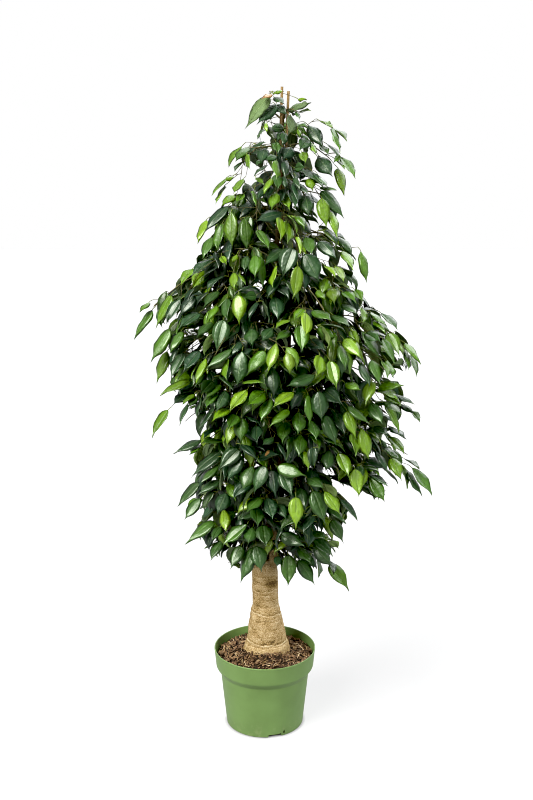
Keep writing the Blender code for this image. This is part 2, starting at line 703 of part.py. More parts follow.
def main():
    for obj in list(bpy.data.objects):
        bpy.data.objects.remove(obj)
    plastic = material("pot_plastic", (0.20, 0.36, 0.10), 0.45)
    peat = material("peat", (0.09, 0.05, 0.03), 0.95)
    bark = material("bark", (0.50, 0.35, 0.17), 0.8)
    bamboo = material("bamboo", (0.50, 0.25, 0.09), 0.5)
    rubber = material("tie_rubber", (0.02, 0.03, 0.02), 0.6)
    foliage = material("foliage", (0.03, 0.10, 0.02), 0.3)
    build_pot(plastic)
    build_soil(peat)
    trunk = build_trunk(bark)
    growth = Growth()
    for obj in [trunk, *build_canes(bamboo), *build_ties(rubber)]:
        growth.add_object(obj)
    wood = tree_of(trunk)
    draw = random.Random(SEED)
    branches = [Branch(f"leafy_branch_{k + 1:02d}", tip, wood, growth, draw)
                for k, tip in enumerate(branch_tips())]
    for k in range(2 * MOST_PAIRS):
        for branch in branches:
            if k < len(branch.sites):
                branch.grow_leaf(k, growth, draw)
    for branch in branches:
        branch.build(foliage)
    print("leaves in all", sum(len(branch.leaves) for branch in branches))


main()
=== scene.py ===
import math
import random

import bmesh
import bpy
import numpy as np
from mathutils import Matrix, Vector, noise
from mathutils.bvhtree import BVHTree


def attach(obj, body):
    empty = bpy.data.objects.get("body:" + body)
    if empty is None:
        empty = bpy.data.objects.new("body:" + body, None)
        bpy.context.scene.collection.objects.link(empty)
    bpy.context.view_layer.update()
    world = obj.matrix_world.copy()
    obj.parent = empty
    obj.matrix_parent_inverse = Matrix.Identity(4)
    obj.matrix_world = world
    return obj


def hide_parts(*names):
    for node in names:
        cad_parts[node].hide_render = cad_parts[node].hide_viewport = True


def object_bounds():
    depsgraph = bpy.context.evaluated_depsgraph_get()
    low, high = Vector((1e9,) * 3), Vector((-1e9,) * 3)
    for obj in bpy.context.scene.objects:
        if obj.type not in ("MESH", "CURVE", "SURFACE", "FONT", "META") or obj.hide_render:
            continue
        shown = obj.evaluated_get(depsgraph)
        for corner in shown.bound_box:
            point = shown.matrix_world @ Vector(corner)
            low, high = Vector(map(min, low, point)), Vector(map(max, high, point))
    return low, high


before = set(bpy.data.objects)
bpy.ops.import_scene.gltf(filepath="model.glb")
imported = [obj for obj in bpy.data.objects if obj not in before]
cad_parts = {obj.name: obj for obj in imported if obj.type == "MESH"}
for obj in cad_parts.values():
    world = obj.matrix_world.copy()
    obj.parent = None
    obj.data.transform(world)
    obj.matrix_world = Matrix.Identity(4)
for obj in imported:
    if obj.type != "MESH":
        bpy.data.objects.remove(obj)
cadLow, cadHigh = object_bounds()
up = Vector((0, 0, 1))
print("packed model loaded,", len(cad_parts), "nodes")


# Camera, as fitted to the pot's ellipses in the photograph
cameraFit = {
    "place": Vector((0.0046, -2.74, 1.56)),
    "pitch": math.radians(13.7),  # below the horizon
    "lens": 50.0,
    "sensor": 36.0,
    "frame": (533, 800),  # the photograph's size in pixels
}


def pointAtPixel(px, py, depthY):
    # The point seen at a pixel of the photograph, on the upright plane y = depthY
    width, height = cameraFit["frame"]
    focal = cameraFit["lens"] / cameraFit["sensor"] * height
    across, rise = (px - width / 2) / focal, (height / 2 - py) / focal
    cosPitch, sinPitch = math.cos(cameraFit["pitch"]), math.sin(cameraFit["pitch"])
    ray = Vector((across, cosPitch + rise * sinPitch, rise * cosPitch - sinPitch))
    return cameraFit["place"] + ray * ((depthY - cameraFit["place"].y) / ray.y)


def seenOnAxisPlane(point):
    # Where the line of sight through a point meets the upright plane through the pot's axis
    eye = cameraFit["place"]
    return eye + (point - eye) * (eye.y / (eye.y - point.y))


def addObject(name, data):
    item = bpy.data.objects.new(name, data)
    bpy.context.scene.collection.objects.link(item)
    return item


def addCamera():
    data = bpy.data.cameras.new("camera")
    data.lens = cameraFit["lens"]
    data.sensor_width = cameraFit["sensor"]
    data.clip_end = 60
    camera = addObject("camera", data)
    camera.location = cameraFit["place"]
    camera.rotation_euler = (math.pi / 2 - cameraFit["pitch"], 0, 0)
    bpy.context.scene.camera = camera


addCamera()


# Materials
def hexColour(code):
    # sRGB hex to linear
    parts = [int(code[i:i + 2], 16) / 255 for i in (1, 3, 5)]
    return tuple(c / 12.92 if c <= 0.04045 else ((c + 0.055) / 1.055) ** 2.4 for c in parts) + (1.0,)


# Where a link gives only a node, its first output is meant, or for these kinds the one here
mainOutputs = {"TEX_COORD": "Object", "ATTRIBUTE": "Fac", "MIX": 2}


def wire(tree, node, links):
    # Each input gets a node's main output, or the output that stands beside the node
    for key, source in links.items():
        giver, output = source if isinstance(source, tuple) else (source, mainOutputs.get(source.type, 0))
        tree.links.new(giver.outputs[output], node.inputs[key])


def addNode(tree, kind, settings, links):
    # settings are the node's own, its input values, or a ramp's stops; links are as for wire
    node = tree.nodes.new("ShaderNode" + kind)
    for key, value in settings.items():
        if key == "stops":
            elements = node.color_ramp.elements
            while len(elements) < len(value):
                elements.new(0.5)
            for element, (place, colour) in zip(elements, value):
                element.position = place
                element.color = hexColour(colour)
        elif isinstance(key, int) or key in node.inputs:
            node.inputs[key].default_value = value
        else:
            setattr(node, key, value)
    wire(tree, node, links)
    return node


def startMaterial(name, sockets):
    material = bpy.data.materials.new(name)
    material.use_nodes = True
    tree = material.node_tree
    shader = tree.nodes["Principled BSDF"]
    for key, value in sockets.items():
        shader.inputs[key].default_value = value
    return material, tree, shader


leafLook = {
    # colour by age, from an old leaf at 0 to one just unfolded at 1
    "ages": ((0.0, "#1F3A24"), (0.18, "#2E4D1F"), (0.42, "#446C10"), (0.68, "#5C7F12"), (1.0, "#75951A")),
    "rib": "#86A060",
    "under": "#8A9F66",
    "dry": "#A07845",
    "tones": (0.18, 1.20),  # the darkest and the lightest leaf of one age; the inner ones are the darkest, with painted shade
    # Painted shade deep in the canopy: share of the reach where the tone begins to rise, over how much, and
    # its least
    "inside": (0.38, 0.36, 0.12),
    "veins": 10,  # side veins on each half of a blade, about 8 mm apart
    "slant": -0.9,  # the veins run out towards the tip
    "pale": (0.20, 0.4),  # how much midrib, veins and edge lighten the upper side and the underside
    "mottle": 0.03,  # size of the cloudy patches in metres
    "dimple": (0.010, 0.0035),  # size and depth of the shallow dimples between the veins, for a broken gloss
    "valley": (0.10, 0.0012),  # the blade dips to the midrib over this share of its width, this deep
    "ior": 1.45,
    "roughness": (0.5, 0.7),  # of the upper side and the underside
    "wax": 0.8,  # the wax coat's weight on the upper side
    "waxRoughness": 0.26,
}


def leafMaterial(name, under):
    # Waxy leaf of a weeping fig: smooth and glossy above, paler and duller below, with a pale midrib and
    # edge; its tone carries painted shade deep in the canopy
    wax = {} if under else {"Coat Weight": leafLook["wax"], "Coat Roughness": leafLook["waxRoughness"]}
    material, tree, shader = startMaterial(name, {"IOR": leafLook["ior"], **wax})
    place = addNode(tree, "TexCoord", {}, {})
    uv = addNode(tree, "UVMap", {"uv_map": "leafUv"}, {})
    parts = addNode(tree, "SeparateXYZ", {}, {0: uv})
    fromRib = addNode(tree, "Math", {"operation": "SUBTRACT", 1: 0.5}, {0: (parts, 1)})
    fromRib = addNode(tree, "Math", {"operation": "ABSOLUTE"}, {0: fromRib})
    rib = addNode(tree, "MapRange", {"From Min": 0.035, "From Max": 0.008}, {"Value": fromRib})
    rim = addNode(tree, "MapRange", {"From Min": 0.455, "From Max": 0.5, "To Max": 0.4}, {"Value": fromRib})
    veins = addNode(tree, "Math", {"operation": "MULTIPLY_ADD", 1: leafLook["slant"]},
                    {0: fromRib, 2: (parts, 0)})
    veins = addNode(tree, "Math", {"operation": "MULTIPLY", 1: math.tau * leafLook["veins"]}, {0: veins})
    veins = addNode(tree, "Math", {"operation": "SINE"}, {0: veins})
    veins = addNode(tree, "MapRange", {"From Min": 0.80, "From Max": 1.0, "To Max": 0.16}, {"Value": veins})
    marks = addNode(tree, "Math", {"operation": "MAXIMUM"}, {0: rib, 1: veins})
    pale = addNode(tree, "Math", {"operation": "MAXIMUM"}, {0: marks, 1: rim})
    age = addNode(tree, "Attribute", {"attribute_name": "leafAge"}, {})
    tone = addNode(tree, "Attribute", {"attribute_name": "leafTone"}, {})
    dry = addNode(tree, "Attribute", {"attribute_name": "leafDry"}, {})
    clouds = addNode(tree, "TexNoise", {"Scale": 1 / leafLook["mottle"], "Detail": 3.0}, {"Vector": place})
    value = addNode(tree, "MapRange", {"From Min": 0.3, "From Max": 0.7, "To Min": 0.82, "To Max": 1.2},
                    {"Value": clouds})
    # The leaf's tone sets how dark its colour is, and carries its painted shade deep in the canopy
    shade = addNode(tree, "MapRange", {"To Min": leafLook["tones"][0], "To Max": leafLook["tones"][1]},
                    {"Value": tone})
    value = addNode(tree, "Math", {"operation": "MULTIPLY"}, {0: value, 1: shade})
    colour = addNode(tree, "ValToRGB", {"stops": leafLook["ages"]}, {0: age})
    colour = addNode(tree, "HueSaturation", {"Saturation": 0.8 if under else 1.0},
                     {"Color": colour, "Value": value})
    share = addNode(tree, "Math", {"operation": "MULTIPLY", 1: leafLook["pale"][under]}, {0: pale})
    colour = addNode(tree, "Mix", {"data_type": "RGBA", 7: hexColour(leafLook["rib"])}, {0: share, 6: colour})
    if under:
        colour = addNode(tree, "Mix", {"data_type": "RGBA", 0: 0.25, 7: hexColour(leafLook["under"])},
                         {6: colour})
    # A dry spot has a ragged edge
    ragged = addNode(tree, "Math", {"operation": "MULTIPLY_ADD", 1: 0.5, 2: 0.05}, {0: clouds})
    dry = addNode(tree, "Math", {"operation": "GREATER_THAN"}, {0: dry, 1: ragged})
    colour = addNode(tree, "Mix", {"data_type": "RGBA", 7: hexColour(leafLook["dry"])}, {0: dry, 6: colour})
    rough = leafLook["roughness"][under]
    gloss = addNode(tree, "MapRange", {"From Min": 0.3, "From Max": 0.7, "To Min": rough + 0.06,
                                       "To Max": rough - 0.08}, {"Value": clouds})
    bump = addNode(tree, "Bump", {"Strength": 0.15, "Distance": 0.0006, "invert": not under},
                   {"Height": marks})
    size, depth = leafLook["dimple"]
    dimples = addNode(tree, "TexNoise", {"Scale": 1 / size, "Detail": 1.0}, {"Vector": place})
    bump = addNode(tree, "Bump", {"Strength": 1.0, "Distance": depth}, {"Height": dimples, "Normal": bump})
    wide, depth = leafLook["valley"]
    valley = addNode(tree, "MapRange", {"interpolation_type": "SMOOTHSTEP", "From Max": wide},
                     {"Value": fromRib})
    bump = addNode(tree, "Bump", {"Strength": 1.0, "Distance": depth, "invert": under},
                   {"Height": valley, "Normal": bump})
    wire(tree, shader, {"Base Color": colour, "Roughness": gloss, "Normal": bump})
    return material


twigForm = {
    "bark": ((0.3, "#34301A"), (0.55, "#575229"), (0.75, "#7E7540")),
    "stalk": "#6E7A30",
    "grain": 0.006,
    "mainShare": 0.75,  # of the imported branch's radius
    "leastRadius": 0.0004,
    "radii": (0.0009, 0.0005),  # of a side twig, at its root and at its tip
    "sides": (6, 5),  # of a branch and of a side twig
    "follow": 0.3,  # share of its length that a side twig keeps to the way of the twig that bears it
    "lift": (0.04, 0.16),
    "inward": 0.34,
    "steps": 7,
    # A start should lie this much further in than the end, and above it: what it lacks counts as distance
    "startInward": 0.025,
    "outwardCost": 2,
    "lowCost": 0.8,
}


def twigMaterial():
    # Thin twig bark, grown and matt: ochre brown with darker specks; the leaf stalks are yellow green
    material, tree, shader = startMaterial("twig_bark_matt", {"Roughness": 0.65})
    place = addNode(tree, "TexCoord", {}, {})
    grain = addNode(tree, "TexNoise", {"Scale": 1 / twigForm["grain"], "Detail": 4.0}, {"Vector": place})
    ramp = addNode(tree, "ValToRGB", {"stops": twigForm["bark"]}, {0: grain})
    tone = addNode(tree, "Attribute", {"attribute_name": "leafTone"}, {})
    stalk = addNode(tree, "Math", {"operation": "GREATER_THAN", 1: 0.001}, {0: tone})  # twigs have no tone
    colour = addNode(tree, "Mix", {"data_type": "RGBA", 7: hexColour(twigForm["stalk"])}, {0: stalk, 6: ramp})
    bump = addNode(tree, "Bump", {"Strength": 0.4, "Distance": 0.0004}, {"Height": grain})
    wire(tree, shader, {"Base Color": colour, "Normal": bump})
    return material


leafTop = leafMaterial("leaf_upper_waxy", False)
leafUnder = leafMaterial("leaf_underside_matt", True)
twigBark = twigMaterial()


def meshFrom(bm, name):
    mesh = bpy.data.meshes.new(name)
    bm.to_mesh(mesh)
    bm.free()
    return mesh


def smoothMesh(mesh, angle):
    # Smooth shading; with an angle in degrees, sharper edges stay crisp
    mesh.shade_smooth()
    if angle:
        mesh.set_sharp_from_angle(angle=math.radians(angle))


def finishPiece(name, bm, materials, nodes, smoothAngle=None):
    # A finished bmesh becomes a piece that rides on the one body and stands for its CAD nodes
    mesh = meshFrom(bm, name)
    for material in materials:
        mesh.materials.append(material)
    smoothMesh(mesh, smoothAngle)
    piece = addObject(name, mesh)
    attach(piece, "root")
    if nodes:
        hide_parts(*nodes)
    return piece


def smoothThrough(stops, x):
    # The value at x of the smooth line through (x, value) stops
    if x <= stops[0][0]:
        return stops[0][1]
    for (x0, y0), (x1, y1) in zip(stops, stops[1:]):
        if x <= x1:
            share = (x - x0) / (x1 - x0)
            return y0 + (y1 - y0) * share * share * (3 - 2 * share)
    return stops[-1][1]


def onCurve(points, share):
    # A point on the Catmull-Rom curve through points
    place = min(max(share, 0.0), 0.99999) * (len(points) - 1)
    i, t = int(place), place - int(place)
    before = points[i - 1] if i else points[0] * 2 - points[1]
    after = points[i + 2] if i + 2 < len(points) else points[-1] * 2 - points[-2]
    a, b = points[i], points[i + 1]
    return 0.5 * (2 * a + (b - before) * t + (2 * before - 5 * a + 4 * b - after) * t * t
                  + (3 * a - 3 * b + after - before) * t * t * t)


def onBend(start, corner, end, share):
    # A point on the short curve from start to end that leans towards corner
    return start.lerp(corner, share).lerp(corner.lerp(end, share), share)


def drawTube(bm, points, radii, sides, material):
    # A round stem drawn through points by extruding its end face from one to the next
    way = (points[1] - points[0]).normalized()
    turn = way.to_track_quat("Z", "Y")
    made = bmesh.ops.create_circle(bm, cap_ends=True, segments=sides, radius=radii[0],
                                   matrix=Matrix.Translation(points[0]) @ turn.to_matrix().to_4x4())
    face = made["verts"][0].link_faces[0]
    if face.normal.dot(way) < 0:
        face.normal_flip()
    face.material_index = material
    for k in range(1, len(points)):
        ahead = points[min(k + 1, len(points) - 1)] - points[k - 1]
        newWay = ahead.normalized()
        turn = way.rotation_difference(newWay)
        face = bmesh.ops.extrude_discrete_faces(bm, faces=[face])["faces"][0]
        grow = radii[k] / radii[k - 1]
        for vert in face.verts:
            vert.co = points[k] + turn @ ((vert.co - points[k - 1]) * grow)
        way = newWay


def fillHoles(bm):
    # Closes every open ring of edges, such as the foot that a drawn tube starts from
    edges = [edge for edge in bm.edges if edge.is_boundary]
    if edges:
        bmesh.ops.holes_fill(bm, edges=edges)


def spinOutline(bm, spots, sides):
    # Turns an outline once round the Z axis
    line = [bm.verts.new(spot) for spot in spots]
    edges = [bm.edges.new(pair) for pair in zip(line, line[1:])]
    bmesh.ops.spin(bm, geom=line + edges, cent=(0, 0, 0), axis=(0, 0, 1), angle=math.tau,
                   steps=sides, use_merge=True)


# Outline of the canopy's body as the camera sees it, without the single leaves that hang beyond it,
# on the plane through the pot's axis: (height, reach)
canopy = {
    "left": ((0.402, 0.065), (0.449, 0.118), (0.496, 0.187), (0.542, 0.187), (0.588, 0.208), (0.634, 0.207),
             (0.679, 0.184), (0.724, 0.171), (0.769, 0.183), (0.813, 0.153), (0.857, 0.203), (0.901, 0.232),
             (0.944, 0.243), (0.987, 0.255), (1.030, 0.258), (1.072, 0.287), (1.114, 0.277), (1.156, 0.243),
             (1.198, 0.209), (1.239, 0.159), (1.280, 0.142), (1.361, 0.141), (1.401, 0.108), (1.440, 0.084),
             (1.480, 0.063), (1.519, 0.059), (1.558, 0.020), (1.597, 0.025), (1.627, 0.023)),
    "right": ((0.402, 0.137), (0.449, 0.172), (0.496, 0.206), (0.542, 0.210), (0.588, 0.239), (0.634, 0.316),
              (0.679, 0.393), (0.724, 0.357), (0.769, 0.338), (0.813, 0.346), (0.857, 0.361), (0.944, 0.367),
              (0.987, 0.374), (1.030, 0.348), (1.072, 0.322), (1.114, 0.296), (1.156, 0.237), (1.239, 0.247),
              (1.280, 0.234), (1.320, 0.201), (1.361, 0.184), (1.440, 0.174), (1.480, 0.190), (1.519, 0.157),
              (1.558, 0.125), (1.627, 0.090)),
    # Lowest leaves, as seen: (sideways place, height)
    "bottom": ((-0.25, 0.55), (-0.218, 0.52), (-0.15, 0.475), (-0.10, 0.45), (-0.07, 0.42), (-0.03, 0.45),
               (0.03, 0.46), (0.06, 0.42), (0.13, 0.42), (0.18, 0.45), (0.22, 0.47), (0.30, 0.60)),
    "depthShare": 0.95,  # depth to the front or back, over the mean reach to the left and right
    "edgeDepth": 0.04,  # square of the share of the depth that is left at the outline's edge
    "smoothOver": 0.06,
    "slack": -0.003,  # leaves placed by rule end this far inside the outline
    "proud": 0.012,  # how far they may stand out of the depth
    "bottomEnd": 0.40,
    "top": 1.62,
    "seed": 11,
}


def sideOf(x):
    return "right" if x > 0 else "left"


def reachAt(side, height):
    # The outline's reach, averaged over a few sprays in height
    step = canopy["smoothOver"]
    return sum(smoothThrough(canopy[side], height + k * step) for k in (-1, 0, 1)) / 3


def depthAt(x, height):
    # How far the canopy stands out to the front or back of the axis plane
    deep = canopy["depthShare"] * (reachAt("left", height) + reachAt("right", height)) / 2
    return deep * math.sqrt(max(canopy["edgeDepth"], 1 - (x / reachAt(sideOf(x), height)) ** 2))


def insideCanopy(point):
    # Inside the outline as the camera sees it, the CAD box and the canopy's depth
    seen, slack = seenOnAxisPlane(point), canopy["slack"]
    left, right = (smoothThrough(canopy[side], seen.z) + slack for side in ("left", "right"))
    return (-left < seen.x < right
            and cadLow.x - slack < point.x < cadHigh.x + slack
            and cadLow.y - slack < point.y < cadHigh.y + slack
            and smoothThrough(canopy["bottom"], seen.x) < seen.z
            and canopy["bottomEnd"] < point.z <= canopy["top"]
            and abs(point.y) < depthAt(point.x, point.z) + canopy["proud"])


def insideShadeAt(point):
    # Painted shade: leaves deep in the canopy are darkened, the outermost keep the whole of their tone
    start, over, least = leafLook["inside"]
    share = math.hypot(point.x / reachAt(sideOf(point.x), point.z), point.y / depthAt(0, point.z))
    return min(max((share - start) / over, least), 1.0)


# Leaf blade, laid along four guide points on its midrib
leafShape = {
    "shares": (0.0, 0.3, 0.7, 1.0),  # of the length, where the guide points lie
    # (share of the length, share of the half width), from the stalk to the drip tip
    "outline": ((0.0, 0.05), (0.05, 0.37), (0.12, 0.69), (0.24, 0.94), (0.39, 1.0), (0.54, 0.92),
                (0.67, 0.64), (0.77, 0.32), (0.84, 0.14), (0.91, 0.065), (1.0, 0.0)),
    "innerOutline": ((0.0, 0.08), (0.15, 0.74), (0.43, 1.0), (0.71, 0.62), (0.85, 0.19), (1.0, 0.0)),
    "facesAcross": (4, 2),  # of an outer and an inner blade
    "rise": 0.0046,  # of the midrib's line over the edges
    "level": 0.4,  # share of the half width where the arched blade lies on the guide line
    "groove": 0.0006,  # the midrib lies this deep in the blade
    "hook": (0.68, 0.32),  # the tip bends down from this share of the length, over so much
    "edgeLag": 1.9,  # the waves of one edge run this much later than those of the other, in radians
    "thickness": 0.0006,
    "stalkRadius": 0.0008,
    "drySpot": (4, 0.5),  # row of the blade and place across it
    # Share of the half width near the tip of the roof that tests for crossings, and of the points that
    # test what a leaf hides, at the middle and again near the tip
    "roof": 0.66,
    "probes": (0.8, 0.6),
}
# What differs from leaf to leaf, drawn in this order
leafTraits = {
    "tone": (0.25, 1),
    "stalkLift": (0.0005, 0.002),
    "wave": (0.0006, 0.0028),  # height of the edge's waves
    "phase": (0, math.tau),
    "ripples": (7, 15),
    "shoulder": (0.82, 1.25),  # over 1 the blade is widest further out
    "lopsided": (-0.1, 0.1),
    "fold": (0.4, 1.4),  # at the midrib, on one leaf in three the other way
    "curl": (-0.0010, 0.0016),  # how much each half is cupped
    "hook": (0.002, 0.009),
}


def shareWeights(share):
    # How much each of a leaf's guide points counts at a share of its length
    weights = []
    for i, here in enumerate(leafShape["shares"]):
        others = [s for j, s in enumerate(leafShape["shares"]) if j != i]
        weights.append(math.prod((share - s) / (here - s) for s in others))
    return np.array(weights)


def makeBlade(outline, acrossFaces):
    # A flat blade as (station, across from -1 to 1, 0 above or 1 below): two grids joined round the edge
    bm = bmesh.new()
    uv = bm.loops.layers.uv.new("leafUv")
    rows = len(outline) - 1
    made = bmesh.ops.create_grid(bm, x_segments=rows, y_segments=acrossFaces, size=0.5)
    for vert in made["verts"]:
        vert.co = Vector((round((vert.co.x + 0.5) * rows), vert.co.y * 2, 0))
    below = bmesh.ops.duplicate(bm, geom=bm.faces[:])["geom"]
    lowFaces = [item for item in below if isinstance(item, bmesh.types.BMFace)]
    bmesh.ops.reverse_faces(bm, faces=lowFaces)
    for face in lowFaces:
        face.material_index = 1
    for vert in {v for face in lowFaces for v in face.verts}:
        if 0 < vert.co.x < rows and abs(vert.co.y) < 0.99:
            vert.co.z = 1
    bmesh.ops.remove_doubles(bm, verts=bm.verts[:], dist=0.01)
    for edge in bm.edges:
        edge.smooth = any(abs(vert.co.y) > 0.01 for vert in edge.verts)
    tip = [vert for vert in bm.verts if vert.co.x == rows]
    bmesh.ops.pointmerge(bm, verts=tip, merge_co=Vector((rows, 0, 0)))
    for face in bm.faces:
        for loop in face.loops:
            loop[uv].uv = (outline[round(loop.vert.co.x)][0], loop.vert.co.y / 2 + 0.5)
    mesh = meshFrom(bm, "blade_template")
    spots = np.array([vert.co for vert in mesh.vertices])
    station = spots[:, 0].round().astype(int)
    shares = [share for share, _ in outline]
    return {
        "mesh": mesh, "across": spots[:, 1], "below": spots[:, 2], "station": station,
        "share": np.array(shares)[station], "outline": np.array(outline).T,
        "line": np.array([shareWeights(s) for s in shares]),
        "slope": np.array([shareWeights(s + 0.01) - shareWeights(s - 0.01) for s in shares]),
    }


def makeStalk():
    # A four-sided stalk of three lengths, upright from 0 to 1
    bm = bmesh.new()
    bm.loops.layers.uv.new("leafUv")
    bmesh.ops.create_cone(bm, cap_ends=True, segments=4, radius1=1, radius2=1, depth=1,
                          matrix=Matrix.Translation((0, 0, 0.5)))
    upright = [edge for edge in bm.edges if abs(edge.verts[0].co.z - edge.verts[1].co.z) > 0.5]
    bmesh.ops.subdivide_edges(bm, edges=upright, cuts=2)
    for face in bm.faces:
        face.material_index = 2
    return meshFrom(bm, "stalk_template")


outerBlade = makeBlade(leafShape["outline"], leafShape["facesAcross"][0])
innerBlade = makeBlade(leafShape["innerOutline"], leafShape["facesAcross"][1])
stalkTemplate = makeStalk()


def unitRows(rows):
    return rows / np.linalg.norm(rows, axis=1, keepdims=True)


def addLeaf(bm, leaf, layers):
    # The flat blade laid along the leaf's own midrib, and the stalk that carries it
    blade = innerBlade if leaf["inner"] else outerBlade
    guide = np.array([tuple(p) for p in leaf["points"]])
    along = unitRows(blade["slope"] @ guide)
    across = np.array(leaf["across"])
    across = unitRows(across - along * (along @ across)[:, None])
    face = np.cross(along, across)
    v, share, station = blade["across"], blade["share"], blade["station"]
    belly = np.sqrt(np.sin(np.pi * np.clip(share, 0.02, 0.98)))
    width = np.interp(share ** leaf["shoulder"], *blade["outline"]) * (1 + leaf["lopsided"] * v)
    arch = leafShape["rise"] * leaf["fold"] * (leafShape["level"] - np.abs(v)) * belly
    groove = np.where((np.abs(v) < 0.01) & (share < 0.95), leafShape["groove"], 0) * (1 - share)
    lag = leafShape["edgeLag"] * (v > 0)
    wave = leaf["wave"] * v * v * np.sin(share * leaf["ripples"] + leaf["phase"] + lag) * belly
    curl = leaf["curl"] * 4 * np.abs(v) * (1 - np.abs(v)) * belly
    hookFrom, hookOver = leafShape["hook"]
    hook = leaf["hook"] * np.clip((share - hookFrom) / hookOver, 0, 1) ** 2
    lift = arch + curl - groove + wave - hook - blade["below"] * leafShape["thickness"]
    spots = ((blade["line"] @ guide)[station] + across[station] * (leaf["half"] * width * v)[:, None]
             + face[station] * lift[:, None])
    first = len(bm.verts)
    bm.from_mesh(blade["mesh"])
    bm.from_mesh(stalkTemplate)
    bm.verts.ensure_lookup_table()
    for vert, spot in zip(bm.verts[first:], spots):
        vert.co = spot
    foot, base = leaf["foot"], leaf["points"][0]
    bend = foot.lerp(base, 0.5) + up * leaf["stalkLift"]
    turn = (base - foot).to_track_quat("Z", "Y")
    for vert in bm.verts[first + len(spots):]:
        centre = onBend(foot, bend, base, vert.co.z)
        vert.co = centre + turn @ Vector((vert.co.x, vert.co.y, 0)) * leafShape["stalkRadius"]
    for vert in bm.verts[first:]:
        vert[layers[0]] = leaf["age"]
        vert[layers[1]] = leaf["tone"]
    if leaf["dry"]:
        row, place = leafShape["drySpot"]
        for k, vert in enumerate(bm.verts[first:first + len(spots)]):
            vert[layers[2]] = float(leaf["dry"] == "all" or (station[k] == row and abs(v[k] - place) < 0.1))


def newLeaf(foot, guide, across, half, age, draw):
    leaf = {"foot": foot, "points": guide, "across": across, "half": half, "age": age}
    leaf.update(inner=False, dry="")
    for trait, span in leafTraits.items():
        way = draw.choice((-1, 1, 1)) if trait == "fold" else 1
        leaf[trait] = way * draw.uniform(*span)
    return leaf


# Everything grown so far, so that a new leaf keeps clear of it. A hero is a spot on a leaf that the
# photograph shows: x and z as seen on the axis plane, its own y and a radius. A gap is x, z and a radius
mostLeaves = 6000
growth = {"middles": np.zeros((mostLeaves, 3)), "reaches": np.zeros(mostLeaves), "trees": [],
          "heroes": np.zeros((0, 4)), "gaps": np.zeros((0, 3))}


def leafSkin(leaf):
    # Middle, reach and search tree of a leaf, as a low roof of eight triangles
    p0, p1, p2, p3 = leaf["points"]
    side = leaf["across"] * leaf["half"]
    narrow = side * leafShape["roof"]
    spots = [p0, p1, p1 + side, p1 - side, p2, p2 + narrow, p2 - narrow, p3]
    faces = ((0, 2, 1), (0, 1, 3), (2, 5, 4), (2, 4, 1), (1, 4, 6), (1, 6, 3), (5, 7, 4), (4, 7, 6))
    middle = (p0 + p3) / 2
    return middle, max((p - middle).length for p in spots), BVHTree.FromPolygons(spots, faces)


def awayFrom(point):
    # Distances of all leaves so far
    return np.linalg.norm(growth["middles"][:len(growth["trees"])] - np.array(point), axis=1)


def isClear(skin):
    middle, reach, tree = skin
    near = np.nonzero(awayFrom(middle) < growth["reaches"][:len(growth["trees"])] + reach)[0]
    return not any(tree.overlap(growth["trees"][i]) for i in near)


def keepSkin(skin):
    count = len(growth["trees"])
    growth["middles"][count] = skin[0]
    growth["reaches"][count] = skin[1]
    growth["trees"].append(skin[2])


def crossesGap(spot):
    # True if a point would be seen in one of the gaps that the photograph shows
    seen, gaps = seenOnAxisPlane(spot), growth["gaps"]
    return bool((np.hypot(gaps[:, 0] - seen.x, gaps[:, 1] - seen.z) < gaps[:, 2]).any())


def hidesHero(leaf):
    # True if a leaf would hang in front of one that the photograph shows, or fill a gap that it shows
    heroes = growth["heroes"]
    inset, taper = leafShape["probes"]
    p0, p1, p2, p3 = leaf["points"]
    side = leaf["across"] * leaf["half"] * inset
    for spot in (p0, p1 + side, p1 - side, (p1 + p2) / 2, p2 + side * taper, p2 - side * taper, p3):
        seen = seenOnAxisPlane(spot)
        near = np.hypot(heroes[:, 0] - seen.x, heroes[:, 1] - seen.z) < heroes[:, 3]
        if (near & (heroes[:, 2] > spot.y)).any() or crossesGap(spot):
            return True
    return False


# Branches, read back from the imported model
readRule = {
    "leafTipSpan": 0.015,  # all edges at a leaf's tip are longer than this
    "evenSpan": 0.0004,  # those at the twig's end are as long as each other to within this
    "bladeScale": 0.88,
    "thickest": 0.005,
    "oldness": 3,  # the higher, the fewer young leaves
}


def ringsFrom(vert, taken, count):
    # Rings of vertices met from a start vertex, one step at a time
    rings, seen, ring = [], {vert} | taken, [vert]
    while ring and (count is None or len(rings) < count):
        around = {edge.other_vert(v) for v in ring for edge in v.link_edges} - seen
        ring = sorted(around, key=lambda v: v.index)  # the order of a set differs from run to run
        seen.update(ring)
        if ring:
            rings.append(ring)
    return rings


def middleOf(verts):
    return sum((v.co for v in verts), Vector()) / len(verts)


def edgesOf(ring):
    # The two edge corners of a leaf's ring, which lie furthest apart, and the midrib's corner
    pairs = ((ring[0], ring[1], ring[2]), (ring[1], ring[2], ring[0]), (ring[2], ring[0], ring[1]))
    return max(pairs, key=lambda three: (three[0].co - three[1].co).length)


